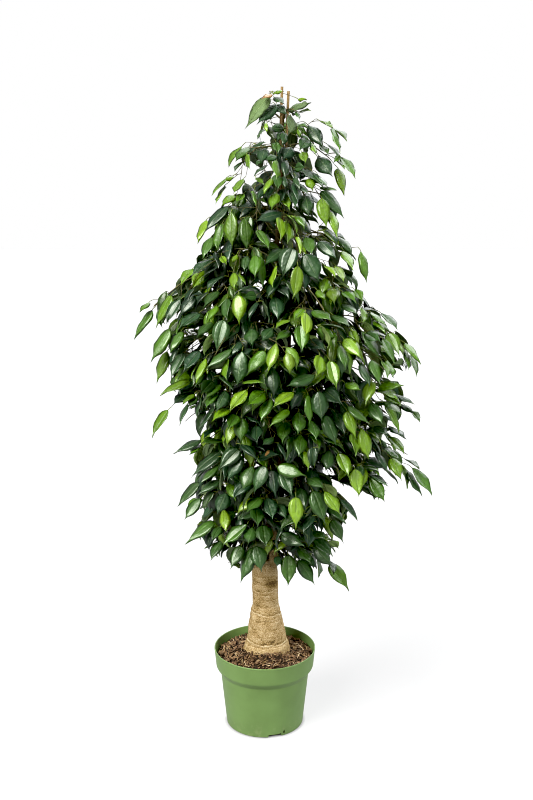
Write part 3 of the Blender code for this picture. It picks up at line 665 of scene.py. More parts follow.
def readBranch(node, draw):
    # The leaves and the twig of one packed branch
    bm = bmesh.new()
    bm.from_mesh(node.data)
    bmesh.ops.remove_doubles(bm, verts=bm.verts[:], dist=1e-6)
    bm.verts.index_update()
    leaves, taken, end = [], set(), None
    for vert in bm.verts:
        spans = [edge.calc_length() for edge in vert.link_edges]
        if len(spans) != 3:
            continue
        if min(spans) > readRule["leafTipSpan"]:
            narrow, wide, root, foot = ringsFrom(vert, set(), 4)
            taken.update([vert, *narrow, *wide, *root])
            left, right, ridge = edgesOf(wide)
            across = (left.co - right.co).normalized()
            guide = [(a.co + b.co) / 4 + c.co / 2 for a, b, c in (edgesOf(wide), edgesOf(narrow))]
            guide = [middleOf(root), *guide, vert.co.copy()]
            if (guide[2] - guide[1]).cross(across).dot(ridge.co - (left.co + right.co) / 2) < 0:
                across.negate()
            scale = readRule["bladeScale"]
            guide = [guide[0].lerp(p, scale) for p in guide]
            half = (left.co - right.co).length / 2 * scale
            age = draw.random() ** readRule["oldness"]
            leaves.append(newLeaf(middleOf(foot), guide, across, half, age, draw))
        elif max(spans) - min(spans) < readRule["evenSpan"]:
            end = vert
    rings = [[end]] + ringsFrom(end, taken, None)
    # The twig's own rings have three corners close together; those where a stalk joins it are left out
    line, radii = [], []
    for ring in reversed(rings):
        middle = middleOf(ring)
        radius = max((v.co - middle).length for v in ring)
        if len(ring) in (1, 3) and radius < readRule["thickest"]:
            line.append(middle)
            radii.append(radius)
    bm.free()
    return leaves, line, radii


def readBranches():
    draw = random.Random(canopy["seed"])
    branches = []
    for name in sorted(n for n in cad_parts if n.startswith("leafy_branch")):
        leaves, line, radii = readBranch(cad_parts[name], draw)
        branch = {"node": name, "line": line, "radii": radii, "packed": leaves, "leaves": [], "twigs": []}
        branches.append(branch)
    return branches


branches = readBranches()
print("branches read,", sum(len(b["packed"]) for b in branches), "packed leaves")

# Places on the twigs from which more can grow
mostPlaces = 60000
twigSpots = {"places": np.zeros((mostPlaces, 3)), "owners": [], "ways": []}


def keepTwig(branch, line):
    for a, b in zip(line, line[1:]):
        count = len(twigSpots["owners"])
        twigSpots["places"][count] = a
        twigSpots["owners"].append(branch)
        twigSpots["ways"].append((b - a).normalized())


def nearestTwig(target, farthest):
    # The nearest twig point, better further in and higher up than the target, with its branch and its way
    places = twigSpots["places"][:len(twigSpots["owners"])]
    apart = np.linalg.norm(places - np.array(target), axis=1)
    outer = np.hypot(places[:, 0], places[:, 1]) - math.hypot(target.x, target.y) + twigForm["startInward"]
    lower = target.z - places[:, 2]
    cost = apart + np.maximum(outer, 0) * twigForm["outwardCost"] + np.maximum(lower, 0) * twigForm["lowCost"]
    k = int(np.argmin(cost))
    return (Vector(places[k]), twigSpots["owners"][k], twigSpots["ways"][k]) if apart[k] < farthest else None


def twigLine(root, way, end, draw):
    # A side twig leaves along the twig that bears it, stays inside the canopy and comes out to its end
    span = (end - root).length
    inward = -Vector((end.x, end.y, 0)).normalized()
    bend = (root + way * span * twigForm["follow"]).lerp(end + inward * span * twigForm["inward"], 0.5)
    bend += up * span * draw.uniform(*twigForm["lift"])
    return [onBend(root, bend, end, k / twigForm["steps"]) for k in range(twigForm["steps"] + 1)]


# The leaves that the photograph shows, front ones first: the pixels of base and tip, the width in pixels,
# with a minus where the underside shows, and the age in hundredths
shownLeaves = (
    # top of the crown
    (269, 96, 245, 130, -13, 30), (276, 104, 256, 125, 12, 5), (288, 110, 312, 103, -7, 15),
    (291, 116, 288, 136, -10, 10), (308, 125, 323, 147, 13, 5), (333, 128, 341, 154, 6, 35),
    (331, 127, 348, 141, 3, 30), (327, 144, 339, 157, 4, 10), (284, 128, 270, 129, 9, 10),
    (267, 123, 267, 132, 4, 80), (263, 129, 257, 139, 4, 20), (276, 142, 278, 154, 9, 25),
    (250, 146, 235, 161, 9, 30), (242, 146, 228, 167, 6, 60), (246, 155, 250, 170, 6, 65),
    (243, 162, 234, 171, 3, 10), (265, 148, 261, 164, 12, 5), (277, 160, 277, 180, 8.5, 50),
    (266, 165, 253, 176, 3.5, 10), (277, 175, 278, 191, 10, 20), (285, 176, 285, 189, 7, 5),
    (302, 152, 306, 164, 9, 70), (318, 157, 333, 177, 15, 5), (311, 142, 316, 155, 5.5, 65),
    (320, 145, 329, 155, 6, 30), (340, 156, 333, 163, 6, 45), (338, 168, 345, 196, 10, 75),
    (309, 178, 313, 191, 10, 75), (295, 168, 306, 167, 9, 15), (313, 172, 328, 187, 4.5, 20),
    (243, 179, 233, 194, 7, 65), (233, 176, 225, 181, 4, 70), (256, 178, 264, 185, 5, 55),
    (271, 178, 263, 194, 6.5, 75), (308, 139, 299, 151, 12, 10), (298, 99, 307, 99, 3, 85),
    (299, 112, 311, 110, 3, 80), (273, 93, 284, 91, 3, 70), (272, 94, 261, 99, 4, 95),
    (276, 105, 288, 115, 9, 8), (274, 97, 285, 104, 6, 15), (296, 111, 300, 119, 4, 20),
    (292, 113, 299, 115, 3, 10), (283, 131, 277, 142, 8, 12), (297, 125, 308, 127, 3, 25),
    (298, 129, 300, 137, 5, 60), (320, 121, 333, 128, 3, 60), (297, 136, 309, 139, 3, 10),
    (255, 145, 266, 142, 3, 10), (277, 156, 265, 160, 7, 10), (291, 147, 283, 160, 12, 0),
    (341, 157, 356, 179, 8, 40), (336, 160, 345, 169, 2.5, 50), (320, 187, 337, 190, 3.5, 25),
    (226, 178, 211, 196, 4, 60), (224, 186, 215, 204, 4, 70), (300, 170, 324, 186, 6, 5),
    (296, 176, 300, 190, 6, 10), (302, 172, 316, 176, 5, 5), (361, 251, 367, 283, 9, 45),
    (283, 147, 279, 160, 8, 0), (286, 133, 282, 146, 8, 8), (287, 160, 285, 178, 9, 2),
    (292, 166, 296, 183, 8, 2), (295, 182, 298, 203, 9, 2), (271, 185, 266, 198, 8, 3),
    (311, 174, 312, 187, 4, 0), (318, 175, 323, 188, 4, 0), (264, 187, 257, 200, 7, 4),
    (283, 189, 279, 206, 9, 2), (289, 190, 296, 208, 9, 6), (303, 168, 300, 182, 8, 2),
    (297, 183, 309, 194, 6, 4), (262, 158, 256, 166, 5, 12),
    # upper crown
    (275, 192, 271, 210, 11, 60), (281, 191, 290, 211, 12.5, 65), (305, 195, 309, 217, 15.5, 10),
    (322, 198, 327, 229, 12.5, 75), (331, 211, 338, 239, 9, 70), (321, 191, 345, 219, 12, 15),
    (206, 220, 197, 244, 8, 85), (228, 206, 203, 233, 10, 5), (234, 195, 221, 206, 8, 65),
    (243, 194, 236, 204, 6.5, 50), (254, 191, 256, 206, 5.5, 45), (231, 212, 232, 249, 14.5, 60),
    (222, 224, 217, 251, 10.5, 40), (211, 237, 202, 260, 10, 30), (283, 213, 255, 221, 12, 2),
    (280, 218, 281, 241, 10.5, 85), (287, 222, 288, 244, 9, 65), (299, 237, 301, 254, 5, 90),
    (306, 237, 312, 255, 12, 30), (293, 248, 282, 279, 18, 8), (283, 249, 263, 266, 12, 10),
    (304, 254, 320, 283, 18, 8), (298, 266, 293, 300, 12, 85), (301, 265, 305, 293, 9, 0),
    (276, 266, 272, 288, 6, 85), (254, 255, 255, 278, 13, 35), (247, 256, 244, 272, 10, 15),
    (261, 256, 263, 289, 9, 30), (233, 273, 234, 290, 9, 75), (240, 274, 246, 285, 4, 60),
    (212, 260, 190, 277, 9, 5), (192, 269, 180, 286, 9, 65), (319, 241, 338, 260, 12, 5),
    (344, 251, 354, 271, 9, 60), (325, 266, 336, 277, 5, 90), (336, 266, 344, 282, 7.5, 90),
    (258, 230, 269, 249, 10, 35), (227, 241, 229, 265, 10, 0), (221, 257, 227, 265, 6.5, 80),
    (237, 254, 232, 262, 5, 80),
    # left of the middle
    (149, 302, 139, 312, 5, 50), (152, 310, 133, 340, 8, 35), (171, 295, 155, 330, 9.5, 60),
    (181, 299, 166, 324, 10, 5), (199, 313, 177, 330, 10, 5), (216, 306, 207, 322, 7, 50),
    (217, 291, 203, 308, 9, 20), (238, 295, 239, 326, 14, 85), (256, 296, 242, 297, 10, 15),
    (227, 299, 227, 320, 10, 20), (223, 320, 216, 353, 16, 15), (211, 322, 196, 338, 9, 20),
    (238, 324, 226, 341, 11, 10), (170, 328, 150, 363, 12, 40), (181, 331, 169, 355, 9, 30),
    (167, 351, 156, 384, 10, 65), (184, 353, 170, 380, 9, 10), (199, 351, 183, 372, 11, 0),
    (206, 358, 195, 384, 8, 75), (232, 349, 205, 369, 9, 20), (242, 351, 237, 387, 17, 12),
    (265, 351, 246, 376, 13, 40), (276, 343, 268, 372, 11, 85), (227, 360, 226, 380, 7, 60),
    (251, 328, 252, 345, 14, 15), (273, 328, 262, 341, 12, 10), (289, 330, 275, 341, 9, 30),
    (289, 320, 275, 328, 5, 70), (275, 296, 278, 320, 14, 3), (191, 381, 159, 396, 8, 70),
    (212, 381, 200, 395, 12, 15), (220, 384, 205, 399, 8, 35), (247, 390, 229, 412, 11, 90),
    (243, 382, 264, 382, 4, 60), (264, 392, 246, 406, 14, 45), (293, 392, 272, 408, 10.5, 85),
    # right of the middle
    (306, 313, 305, 338, 11, 100), (300, 325, 302, 353, 14, 35), (303, 309, 293, 322, 9, 55),
    (313, 310, 333, 321, 9, 35), (333, 315, 351, 327, 8, 20), (344, 339, 362, 359, 13, 75),
    (351, 331, 357, 342, 8, 65), (341, 345, 346, 372, 9, 30), (345, 347, 350, 375, 6, 55),
    (320, 356, 316, 378, 12, 75), (330, 361, 337, 390, 14, 60), (308, 341, 327, 351, 11, 0),
    (361, 364, 371, 388, 8.5, 10), (372, 360, 381, 386, 10, 30), (382, 361, 388, 378, 6, 50),
    (387, 360, 394, 378, 8, 40), (378, 388, 404, 385, 9.5, 50), (378, 389, 399, 400, 6, 55),
    (393, 394, 415, 404, 5, 5), (381, 313, 398, 330, 7, 15), (371, 312, 387, 326, 5, 40),
    (374, 320, 386, 333, 5, 50), (388, 333, 400, 357, 12, 55), (395, 337, 404, 356, 6, 70),
    (405, 343, 422, 365, 6.5, 50), (411, 355, 417, 378, 6, 30), (406, 349, 409, 371, 6, 45),
    (383, 339, 395, 365, 8, 30), (366, 333, 382, 343, 11, 15), (362, 331, 381, 359, 9, 25),
    (361, 307, 364, 323, 6, 60), (355, 290, 363, 301, 9, 45), (343, 292, 357, 303, 8, 35),
    (317, 290, 326, 300, 7, 55), (345, 383, 361, 390, 8, 50), (315, 375, 286, 386, 12, 15),
    (342, 304, 358, 314, 7, 15),
    # lower left
    (168, 410, 151, 439, 8, 60), (190, 392, 172, 405, 9, 3), (194, 394, 182, 404, 5, 65),
    (196, 396, 189, 408, 7, 25), (187, 404, 179, 426, 5, 10), (201, 397, 197, 419, 4, 10),
    (216, 392, 205, 409, 8, 30), (226, 391, 216, 413, 13, 8), (228, 408, 211, 422, 9.5, 70),
    (214, 407, 197, 432, 5, 10), (219, 428, 203, 438, 5, 0), (236, 415, 227, 431, 12, 30),
    (241, 418, 241, 444, 13.5, 30), (201, 440, 172, 454, 7.5, 10), (201, 444, 189, 455, 6, 45),
    (223, 441, 201, 443, 6, 25), (221, 451, 190, 478, 11, 8), (239, 449, 217, 471, 15, 10),
    (259, 458, 279, 454, 9.5, 0), (271, 470, 276, 498, 15, 0), (265, 466, 253, 495, 13, 12),
    (253, 466, 242, 491, 14, 22), (240, 457, 226, 483, 12, 5), (271, 398, 260, 422, 10.5, 35),
    (288, 409, 268, 428, 9, 50), (286, 422, 282, 444, 12, 30), (256, 426, 257, 443, 12, 3),
    (274, 437, 262, 445, 7, 10), (218, 465, 200, 484, 8, 25), (199, 482, 177, 507, 9, 20),
    (219, 480, 196, 496, 8, 12), (277, 467, 307, 476, 14, 30),
    # lower right
    (318, 391, 322, 422, 16.5, 10), (308, 395, 310, 426, 8, 35), (324, 390, 343, 405, 15, 3),
    (347, 411, 356, 439, 12, 72), (361, 428, 369, 460, 12, 78), (353, 434, 356, 457, 9, 62),
    (339, 453, 349, 478, 11.5, 68), (355, 469, 359, 498, 12, 80), (370, 478, 385, 502, 12.5, 35),
    (391, 458, 402, 481, 11, 68), (402, 465, 408, 490, 5, 50), (412, 468, 433, 496, 9, 30),
    (408, 471, 423, 497, 6, 15), (405, 459, 420, 469, 3, 20), (389, 437, 405, 454, 8, 55),
    (382, 446, 400, 459, 5, 20), (385, 404, 400, 434, 7.5, 55), (386, 396, 402, 406, 8, 50),
    (383, 401, 403, 415, 6, 30), (401, 404, 414, 413, 6, 12), (412, 411, 420, 422, 6, 40),
    (389, 426, 407, 439, 6, 5), (370, 403, 383, 425, 12, 20), (348, 406, 371, 425, 8, 30),
    (374, 426, 389, 435, 8, 5), (325, 415, 337, 447, 12.5, 15), (335, 412, 345, 435, 12, 5),
    (299, 412, 298, 435, 13, 30), (301, 434, 299, 457, 12.5, 30), (311, 420, 317, 441, 11, 25),
    (330, 450, 326, 471, 13, 15), (282, 472, 293, 498, 13, 10), (307, 478, 324, 488, 10, 20),
    (370, 475, 389, 486, 3, 10), (376, 451, 389, 473, 6, 5),
    # skirt over the trunk
    (296, 497, 296, 531, 13, 88), (324, 491, 341, 515, 11, 78), (313, 491, 326, 526, 15, 20),
    (300, 487, 306, 511, 12, 12), (267, 498, 273, 520, 14, 3), (260, 497, 246, 513, 11, 28),
    (256, 507, 258, 527, 13, 20), (226, 493, 217, 515, 14, 5), (200, 498, 184, 520, 10, 20),
    (214, 521, 184, 545, 11, 28), (247, 524, 222, 546, 10.5, 28), (220, 527, 212, 541, 9, 20),
    (222, 540, 210, 561, 9, 20), (253, 527, 248, 544, 12, 20), (263, 525, 266, 548, 15, 20),
    (281, 534, 306, 547, 13, 15), (241, 546, 230, 570, 12, 22), (253, 547, 240, 583, 12.5, 20),
    (256, 546, 262, 573, 14, 18), (288, 555, 288, 587, 13.5, 30), (298, 560, 315, 585, 12, 18),
    (278, 556, 277, 567, 7, 5), (300, 548, 312, 565, 9, 22), (313, 546, 333, 567, 12, 18),
    (314, 539, 334, 557, 10, 12), (313, 531, 326, 539, 8, 18), (332, 520, 344, 544, 11, 20),
    (329, 565, 350, 592, 12, 50), (330, 561, 334, 575, 6, 8), (340, 499, 358, 521, 6, 5),
    (328, 506, 347, 524, 7, 15), (317, 557, 319, 578, 4, 20), (278, 504, 287, 520, 11, 5),
)
# Where the photograph shows the wall between the leaves: the pixel of the middle and the radius in pixels
openSpots = (
    # crown
    (272, 98, 3), (278, 117, 4), (267, 137, 5), (293, 102, 4), (295, 115, 4), (310, 117, 4), (293, 136, 4),
    (330, 138, 5), (238, 174, 4), (255, 170, 5), (250, 183, 4), (222, 188, 6), (258, 192, 3), (312, 154, 4),
    (309, 164, 4), (294, 171, 4), (323, 179, 4), (333, 178, 4), (337, 165, 3), (348, 172, 3), (303, 186, 3),
    (250, 138, 5), (262, 141, 4), (249, 166, 4), (258, 177, 4), (244, 172, 4), (262, 168, 3), (247, 178, 3),
    (242, 187, 3), (289, 140, 3), (318, 115, 4), (275, 121, 3), (249, 130, 4), (315, 195, 4), (314, 226, 5),
    (206, 233, 4), (212, 249, 3), (340, 228, 6),
    # left
    (172, 322, 5), (150, 305, 3), (147, 332, 6), (193, 328, 3), (196, 344, 4), (180, 346, 4), (188, 354, 3),
    (168, 377, 4), (219, 370, 4), (192, 418, 6), (205, 415, 4), (190, 431, 7), (215, 434, 4), (228, 442, 3),
    (204, 449, 3), (207, 468, 4), (196, 476, 3), (213, 480, 3), (190, 499, 3), (198, 512, 5), (210, 516, 4),
    (160, 336, 3), (203, 414, 3), (207, 429, 3), (200, 516, 3), (200, 544, 4), (226, 556, 4), (238, 543, 3),
    (235, 575, 4), (247, 575, 4),
    # right
    (341, 257, 3), (335, 280, 3), (346, 281, 4), (357, 270, 4), (352, 252, 3), (347, 298, 3), (349, 315, 4),
    (312, 286, 3), (288, 338, 5), (390, 322, 4), (377, 327, 3), (356, 368, 6), (394, 374, 5), (402, 378, 4),
    (367, 360, 4), (372, 370, 3), (382, 350, 4), (387, 357, 3), (388, 377, 4), (399, 372, 5), (408, 380, 6),
    (343, 376, 2), (364, 385, 3), (378, 397, 5), (386, 411, 3), (393, 434, 4), (385, 442, 4), (400, 442, 5),
    (378, 460, 3), (385, 474, 4), (407, 483, 5), (338, 488, 5), (381, 476, 3), (391, 480, 3), (387, 440, 3),
    (348, 495, 6), (366, 492, 4), (322, 432, 3), (323, 472, 4), (333, 517, 3), (375, 508, 8), (395, 492, 8),
    (354, 511, 7), (364, 503, 6), (368, 286, 6), (313, 528, 3), (324, 531, 4), (337, 536, 5), (312, 558, 3),
    (320, 562, 3), (324, 573, 6), (298, 577, 4),
)
shownRule = {
    "openShare": 0.0023,  # metres that a leaf keeps from the middle of a gap for each pixel of its radius
    "depth": (0.80, 0.16),  # share of the canopy's depth of an old leaf, and how much more a young one has
    "fullLength": 0.078,
    "foreshort": (1.04, 1.5),  # a leaf is at least and at most this many times as long as it looks
    "slimness": 0.46,
    "leastRoll": 1.02,  # a leaf is at least this many times as wide as it looks
    "bulge": 0.03,
    "widen": 1.10,  # the table's widths leave out the blurred edges
    "faceOut": 0.6,  # the upper side turns outwards this much, for each part that it turns up
    "stalk": (0.011, 0.015),
    "stalkWay": (0.7, (0.2, 0.6), 0.5),  # inwards, up and back along the blade
    "hook": 0.35,  # of a grown leaf's, because the table's tips are where they hang
    "tries": 14,
    "step": 0.009,  # a leaf that would cross another moves back by this much
    # Circles that other leaves keep behind: share of the length and of the radius
    "cover": ((0.2, 0.8), (0.5, 1.0), (0.78, 0.6)),
    "coverRadius": (0.0013, 0.004),  # for each pixel of the leaf's width, and besides
    "dry": {(272, 94): "all", (259, 458): "spot"},  # one at the top is dry all over
}


def shownLeaf(entry, back, draw):
    # A leaf in space whose base, tip and width look as they do in the photograph
    baseX, baseY, tipX, tipY, width, age = entry
    old, younger = shownRule["depth"]
    depth, share = 0.0, old + younger * (age / 100) ** 0.5
    for _ in range(4):  # rounds until place and depth agree
        middle = pointAtPixel((baseX + tipX) / 2, (baseY + tipY) / 2, depth)
        depth = back - depthAt(middle.x, middle.z) * share
    looks = (pointAtPixel(tipX, tipY, depth) - pointAtPixel(baseX, baseY, depth)).length
    least, most = shownRule["foreshort"]
    length = max(least * looks, min(shownRule["fullLength"], most * looks))
    forward = math.sqrt(length ** 2 - looks ** 2) / 2
    base, tip = pointAtPixel(baseX, baseY, depth + forward), pointAtPixel(tipX, tipY, depth - forward)
    along = (tip - base).normalized()
    view = (cameraFit["place"] - middle).normalized()
    looksWide = shownRule["widen"] * abs(width) / math.hypot(tipX - baseX, tipY - baseY) * looks
    half = max(looksWide * shownRule["leastRoll"], shownRule["slimness"] * length) / 2
    roll = math.acos(min(1.0, looksWide / 2 / half))
    flat = view.cross(along).normalized()
    outward = Vector((middle.x, middle.y, 0)).normalized()
    turns = [Matrix.Rotation(sign * roll, 3, along) @ flat for sign in (-1, 1)]
    across = max(turns, key=lambda side: along.cross(side).dot(up + outward * shownRule["faceOut"]))
    bulge = along.cross(across) * length * shownRule["bulge"]
    guide = [base.lerp(tip, s) + bulge * 4 * s * (1 - s) for s in leafShape["shares"]]
    inShare, upSpan, backShare = shownRule["stalkWay"]
    stalk = (-outward * inShare + up * draw.uniform(*upSpan) - along * backShare).normalized()
    foot = base + stalk * draw.uniform(*shownRule["stalk"])
    leaf = newLeaf(foot, guide, across if width > 0 else -across, half, age / 100, draw)
    leaf["hook"] *= shownRule["hook"]
    # painted light: the random tone of a front leaf is raised to its upper half, as for a leaf in full light
    leaf["tone"] = 0.5 + leaf["tone"] / 2
    leaf["dry"] = shownRule["dry"].get(entry[:2], "")
    return leaf


def placeShownLeaves():
    draw = random.Random(canopy["seed"] + 2)
    circles, placed = [], []
    forWidth, besides = shownRule["coverRadius"]
    for entry in shownLeaves:
        for k in range(shownRule["tries"]):
            leaf = shownLeaf(entry, k * shownRule["step"], draw)
            skin = leafSkin(leaf)
            if isClear(skin):
                break
        keepSkin(skin)
        placed.append(leaf)
        base, tip = leaf["points"][0], leaf["points"][3]
        for share, part in shownRule["cover"]:
            seen = seenOnAxisPlane(base.lerp(tip, share))
            circles.append((seen.x, seen.z, max(base.y, tip.y), abs(entry[4]) * forWidth * part + besides))
    growth["heroes"] = np.array(circles)
    gaps = [(pointAtPixel(px, py, 0), radius * shownRule["openShare"]) for px, py, radius in openSpots]
    growth["gaps"] = np.array([(point.x, point.z, radius) for point, radius in gaps])
    for leaf in sorted(placed, key=lambda leaf: math.hypot(leaf["foot"].x, leaf["foot"].y)):
        root, branch, way = nearestTwig(leaf["foot"], math.inf)
        line = twigLine(root, way, leaf["foot"], draw)
        branch["leaves"].append(leaf)
        branch["twigs"].append(line)
        keepTwig(branch, line[1:-2])
    print("shown leaves placed", len(placed))


# Leaves by rule, with angles in degrees
leafHabit = {
    "length": (0.054, 0.086),
    "young": (0.6, 0.3),  # a leaf younger than this is shorter, by so much of its length for each unit of age
    "slimness": (0.45, 0.56),
    "stalk": (0.010, 0.017),
    "stalkWay": (0.8, 0.1, 0.6, (-0.1, 0.35)),  # to the twig's side, as every stalk, along the leaf and up
    "aside": (5, 80),  # turned from the twig's way to the leaf's own side
    "tipAside": (-25, 25),
    "fall": (8, 66),
    "roll": 32,
    "startUp": 10,  # the blade starts less steep than it falls on the whole
    "bend": (4, 26),
    "steepest": 100,
    "parts": (0.3, 0.4, 0.3),  # of the length between the guide points
    "tries": (4, 8),  # after the first few tries a leaf may also hang more or less steeply
    "steep": (-25, 18),
}


def drawLeaf(foot, sideOut, outward, hand, steep, age, draw):
    # A hanging leaf on a stalk from foot; hand is 1 left of the twig, -1 right of it and 0 at its tip
    yaw = hand * math.radians(draw.uniform(*leafHabit["aside"]))
    if not hand:
        yaw = math.radians(draw.uniform(*leafHabit["tipAside"]))
    heading = Matrix.Rotation(yaw, 3, "Z") @ outward
    fall = math.radians(draw.uniform(*leafHabit["fall"]) + steep)
    roll = math.radians(draw.gauss(0, leafHabit["roll"]))
    youngFrom, shorter = leafHabit["young"]
    length = draw.uniform(*leafHabit["length"]) * (1 - shorter * max(0.0, age - youngFrom))
    half = length * draw.uniform(*leafHabit["slimness"]) / 2
    aside, always, ahead, lift = leafHabit["stalkWay"]
    stalk = (sideOut * (aside * abs(hand) + always) + heading * ahead + up * draw.uniform(*lift)).normalized()
    base = foot + stalk * draw.uniform(*leafHabit["stalk"])
    guide, spot, angle = [base], base, fall - math.radians(leafHabit["startUp"])
    bend = math.radians(draw.uniform(*leafHabit["bend"]))
    for part in leafHabit["parts"]:
        spot = spot + (heading * math.cos(angle) - up * math.sin(angle)) * length * part
        guide.append(spot)
        angle = min(angle + bend, math.radians(leafHabit["steepest"]))
    flat = up.cross(heading).normalized()
    along = (guide[2] - guide[1]).normalized()
    return newLeaf(foot, guide, Matrix.Rotation(roll, 3, along) @ flat, half, age, draw)


def tryLeaf(branch, foot, sideOut, outward, hand, age, inner, draw):
    # Adds a leaf to the branch if one of a few finds room, and says whether it did
    plainTries, tries = leafHabit["tries"]
    for attempt in range(tries):
        steep = 0 if attempt < plainTries else draw.uniform(*leafHabit["steep"])
        leaf = drawLeaf(foot, sideOut, outward, hand, steep, age, draw)
        leaf["inner"] = inner
        # painted shade: a leaf deep in the canopy is darkened
        leaf["tone"] *= insideShadeAt(leaf["points"][2])
        if not all(insideCanopy(leaf["points"][i]) for i in (1, 3)) or hidesHero(leaf):
            continue
        skin = leafSkin(leaf)
        if isClear(skin):
            keepSkin(skin)
            branch["leaves"].append(leaf)
            return True
    return False


sprayRule = {
    "bearing": 0.8,  # share of a twig's length that bears leaves
    "leafSpacing": 0.017,
    "leaves": (2, 8),
    "places": (0.96, 0.74),  # the first leaf is at this share of the twig, the others spread over so much
    "heading": (0.8, 0.6),  # leaves point along the twig and outwards
    # The age is a random number to this power: on the shell, at its first leaves and tips, and inside
    "oldness": {"shell": 4, "first": 3, "tip": 2.2, "inner": 4},
    "innerAge": 0.6,
    "youngSide": 0.1,  # right of this the shell has more young leaves, as in the photograph
    "farthest": 0.20,
    # tries, share of the reach from and to, a target with a leaf this near is left alone, most leaves
    "shell": (6400, 0.60, 0.96, 0.024, 1400),
    "inner": (3600, 0.12, 0.60, 0.036, 700),
    # Targets are spread evenly over height, direction and reach by these steps, with some play in the height
    "heights": (0.42, 1.2),
    "spread": (0.61803, 0.75488, 0.56984),
    "play": 0.02,
    "bunchSize": 0.075,
    "hollow": 0.0,  # the shell grows no spray where the bunch noise is under this
    "openEdge": ((1.15, 0.93), (1.42, 0.75)),  # share of the outline, as seen, that sprays reach, by height
    "thinTop": ((1.20, 0.0), (1.34, 0.55), (1.45, 0.94)),  # share left out of the crown, by height
}


def growSpray(branch, root, way, target, inner, draw):
    # A side twig to the target, with leaves left and right of its outer part and one at its tip
    span = (target - root).length
    line = twigLine(root, way, target, draw)
    if any(crossesGap(spot) for spot in line[2:]):
        return 0
    alongShare, outShare = sprayRule["heading"]
    outward = Vector((target.x, target.y, 0)).normalized()
    heading = Vector((target.x - root.x, target.y - root.y, 0)) / span
    heading = (heading * alongShare + outward * outShare).normalized()
    fewest, most = sprayRule["leaves"]
    count = min(max(round(span * sprayRule["bearing"] / sprayRule["leafSpacing"]), fewest), most)
    outermost, spread = sprayRule["places"]
    oldness = sprayRule["oldness"]
    grown = 0
    for k in range(count):
        share = outermost - spread * k / count
        foot = onCurve(line, share)
        along = (onCurve(line, share + 0.03) - onCurve(line, share - 0.03)).normalized()
        hand = 1 if (k + len(branch["twigs"])) % 2 else -1
        side = up.cross(along).normalized() * hand
        if inner:
            age = draw.random() ** oldness["inner"] * sprayRule["innerAge"]
        else:
            age = draw.random() ** (oldness["shell" if k else "first"] - (target.x > sprayRule["youngSide"]))
        grown += tryLeaf(branch, foot, side, heading, hand, age, inner, draw)
    if grown:
        age = draw.random() ** oldness["inner" if inner else "tip"]
        grown += tryLeaf(branch, line[-1], heading, heading, 0, age, inner, draw)
        branch["twigs"].append(line)
        keepTwig(branch, line)
    return grown


def keepPackedLeaves(draw):
    # The source's own leaves stay where they cross, hide and crowd nothing
    kept = 0
    for branch in branches:
        for leaf in branch["packed"]:
            skin = leafSkin(leaf)
            if hidesHero(leaf) or not isClear(skin) or not insideCanopy(leaf["points"][3]):
                continue
            if draw.random() < smoothThrough(sprayRule["thinTop"], seenOnAxisPlane(skin[0]).z):
                continue
            # painted shade: a leaf deep in the canopy is darkened
            leaf["tone"] *= insideShadeAt(skin[0])
            keepSkin(skin)
            branch["leaves"].append(leaf)
            kept += 1
    print("packed leaves kept", kept)


def drawTarget(k, part, draw):
    # The place that the spray of the k-th try grows to, or None if it isn't wanted there
    _, fromShare, toShare, bareGap, _ = sprayRule[part]
    lowest, rise = sprayRule["heights"]
    steps = sprayRule["spread"]
    height = lowest + rise * ((k * steps[0] + draw.random() * sprayRule["play"]) % 1)
    azimuth = math.tau * ((k * steps[1]) % 1)
    share = fromShare + (toShare - fromShare) * math.sqrt((k * steps[2]) % 1)
    side = sideOf(math.cos(azimuth))
    target = Vector((math.cos(azimuth) * smoothThrough(canopy[side], height) * share, 0, height))
    target.y = math.sin(azimuth) * depthAt(0, height) * share
    if not insideCanopy(target):
        return None
    if part == "shell" and noise.noise(target / sprayRule["bunchSize"]) < sprayRule["hollow"]:
        return None
    seen = seenOnAxisPlane(target)
    edge = abs(seen.x) / smoothThrough(canopy[sideOf(seen.x)], seen.z)
    if edge > smoothThrough(sprayRule["openEdge"], seen.z):
        return None
    if draw.random() < smoothThrough(sprayRule["thinTop"], seen.z) or awayFrom(target).min() < bareGap:
        return None
    return target


def growCanopy():
    draw = random.Random(canopy["seed"] + 1)
    for branch in branches:
        keepTwig(branch, [onCurve(branch["line"], k / 24) for k in range(25)])
    placeShownLeaves()
    keepPackedLeaves(draw)
    for part in ("shell", "inner"):
        tries, most = sprayRule[part][0], sprayRule[part][-1]
        grown = 0
        for k in range(tries):
            if grown >= most:
                break
            target = drawTarget(k, part, draw)
            if target is None:
                continue
            found = nearestTwig(target, sprayRule["farthest"])
            if found:
                root, branch, way = found
                grown += growSpray(branch, root, way, target, part == "inner", draw)
        print(part, "leaves added", grown)


growCanopy()


def buildBranch(branch):
    bm = bmesh.new()
    bm.loops.layers.uv.new("leafUv")
    layers = tuple(bm.verts.layers.float.new(name) for name in ("leafAge", "leafTone", "leafDry"))
    branchSides, twigSides = twigForm["sides"]
    line, radii = branch["line"], branch["radii"]
    spots = 2 * len(line) - 1
    points = [onCurve(line, k / (spots - 1)) for k in range(spots)]
    widths = [(radii[k // 2] + radii[(k + 1) // 2]) / 2 * twigForm["mainShare"] for k in range(spots)]
    drawTube(bm, points, [max(width, twigForm["leastRadius"]) for width in widths], branchSides, 2)
    thick, thin = twigForm["radii"]
    for twig in branch["twigs"]:
        last = len(twig) - 1
        drawTube(bm, twig, [thick + (thin - thick) * k / last for k in range(last + 1)], twigSides, 2)
    fillHoles(bm)
    for leaf in branch["leaves"]:
        addLeaf(bm, leaf, layers)
    name = "leafyBranch" + branch["node"][-2:]
    finishPiece(name, bm, (leafTop, leafUnder, twigBark), [branch["node"]])


for branch in branches:
    buildBranch(branch)
print("branches built,", sum(len(b["leaves"]) for b in branches), "leaves")


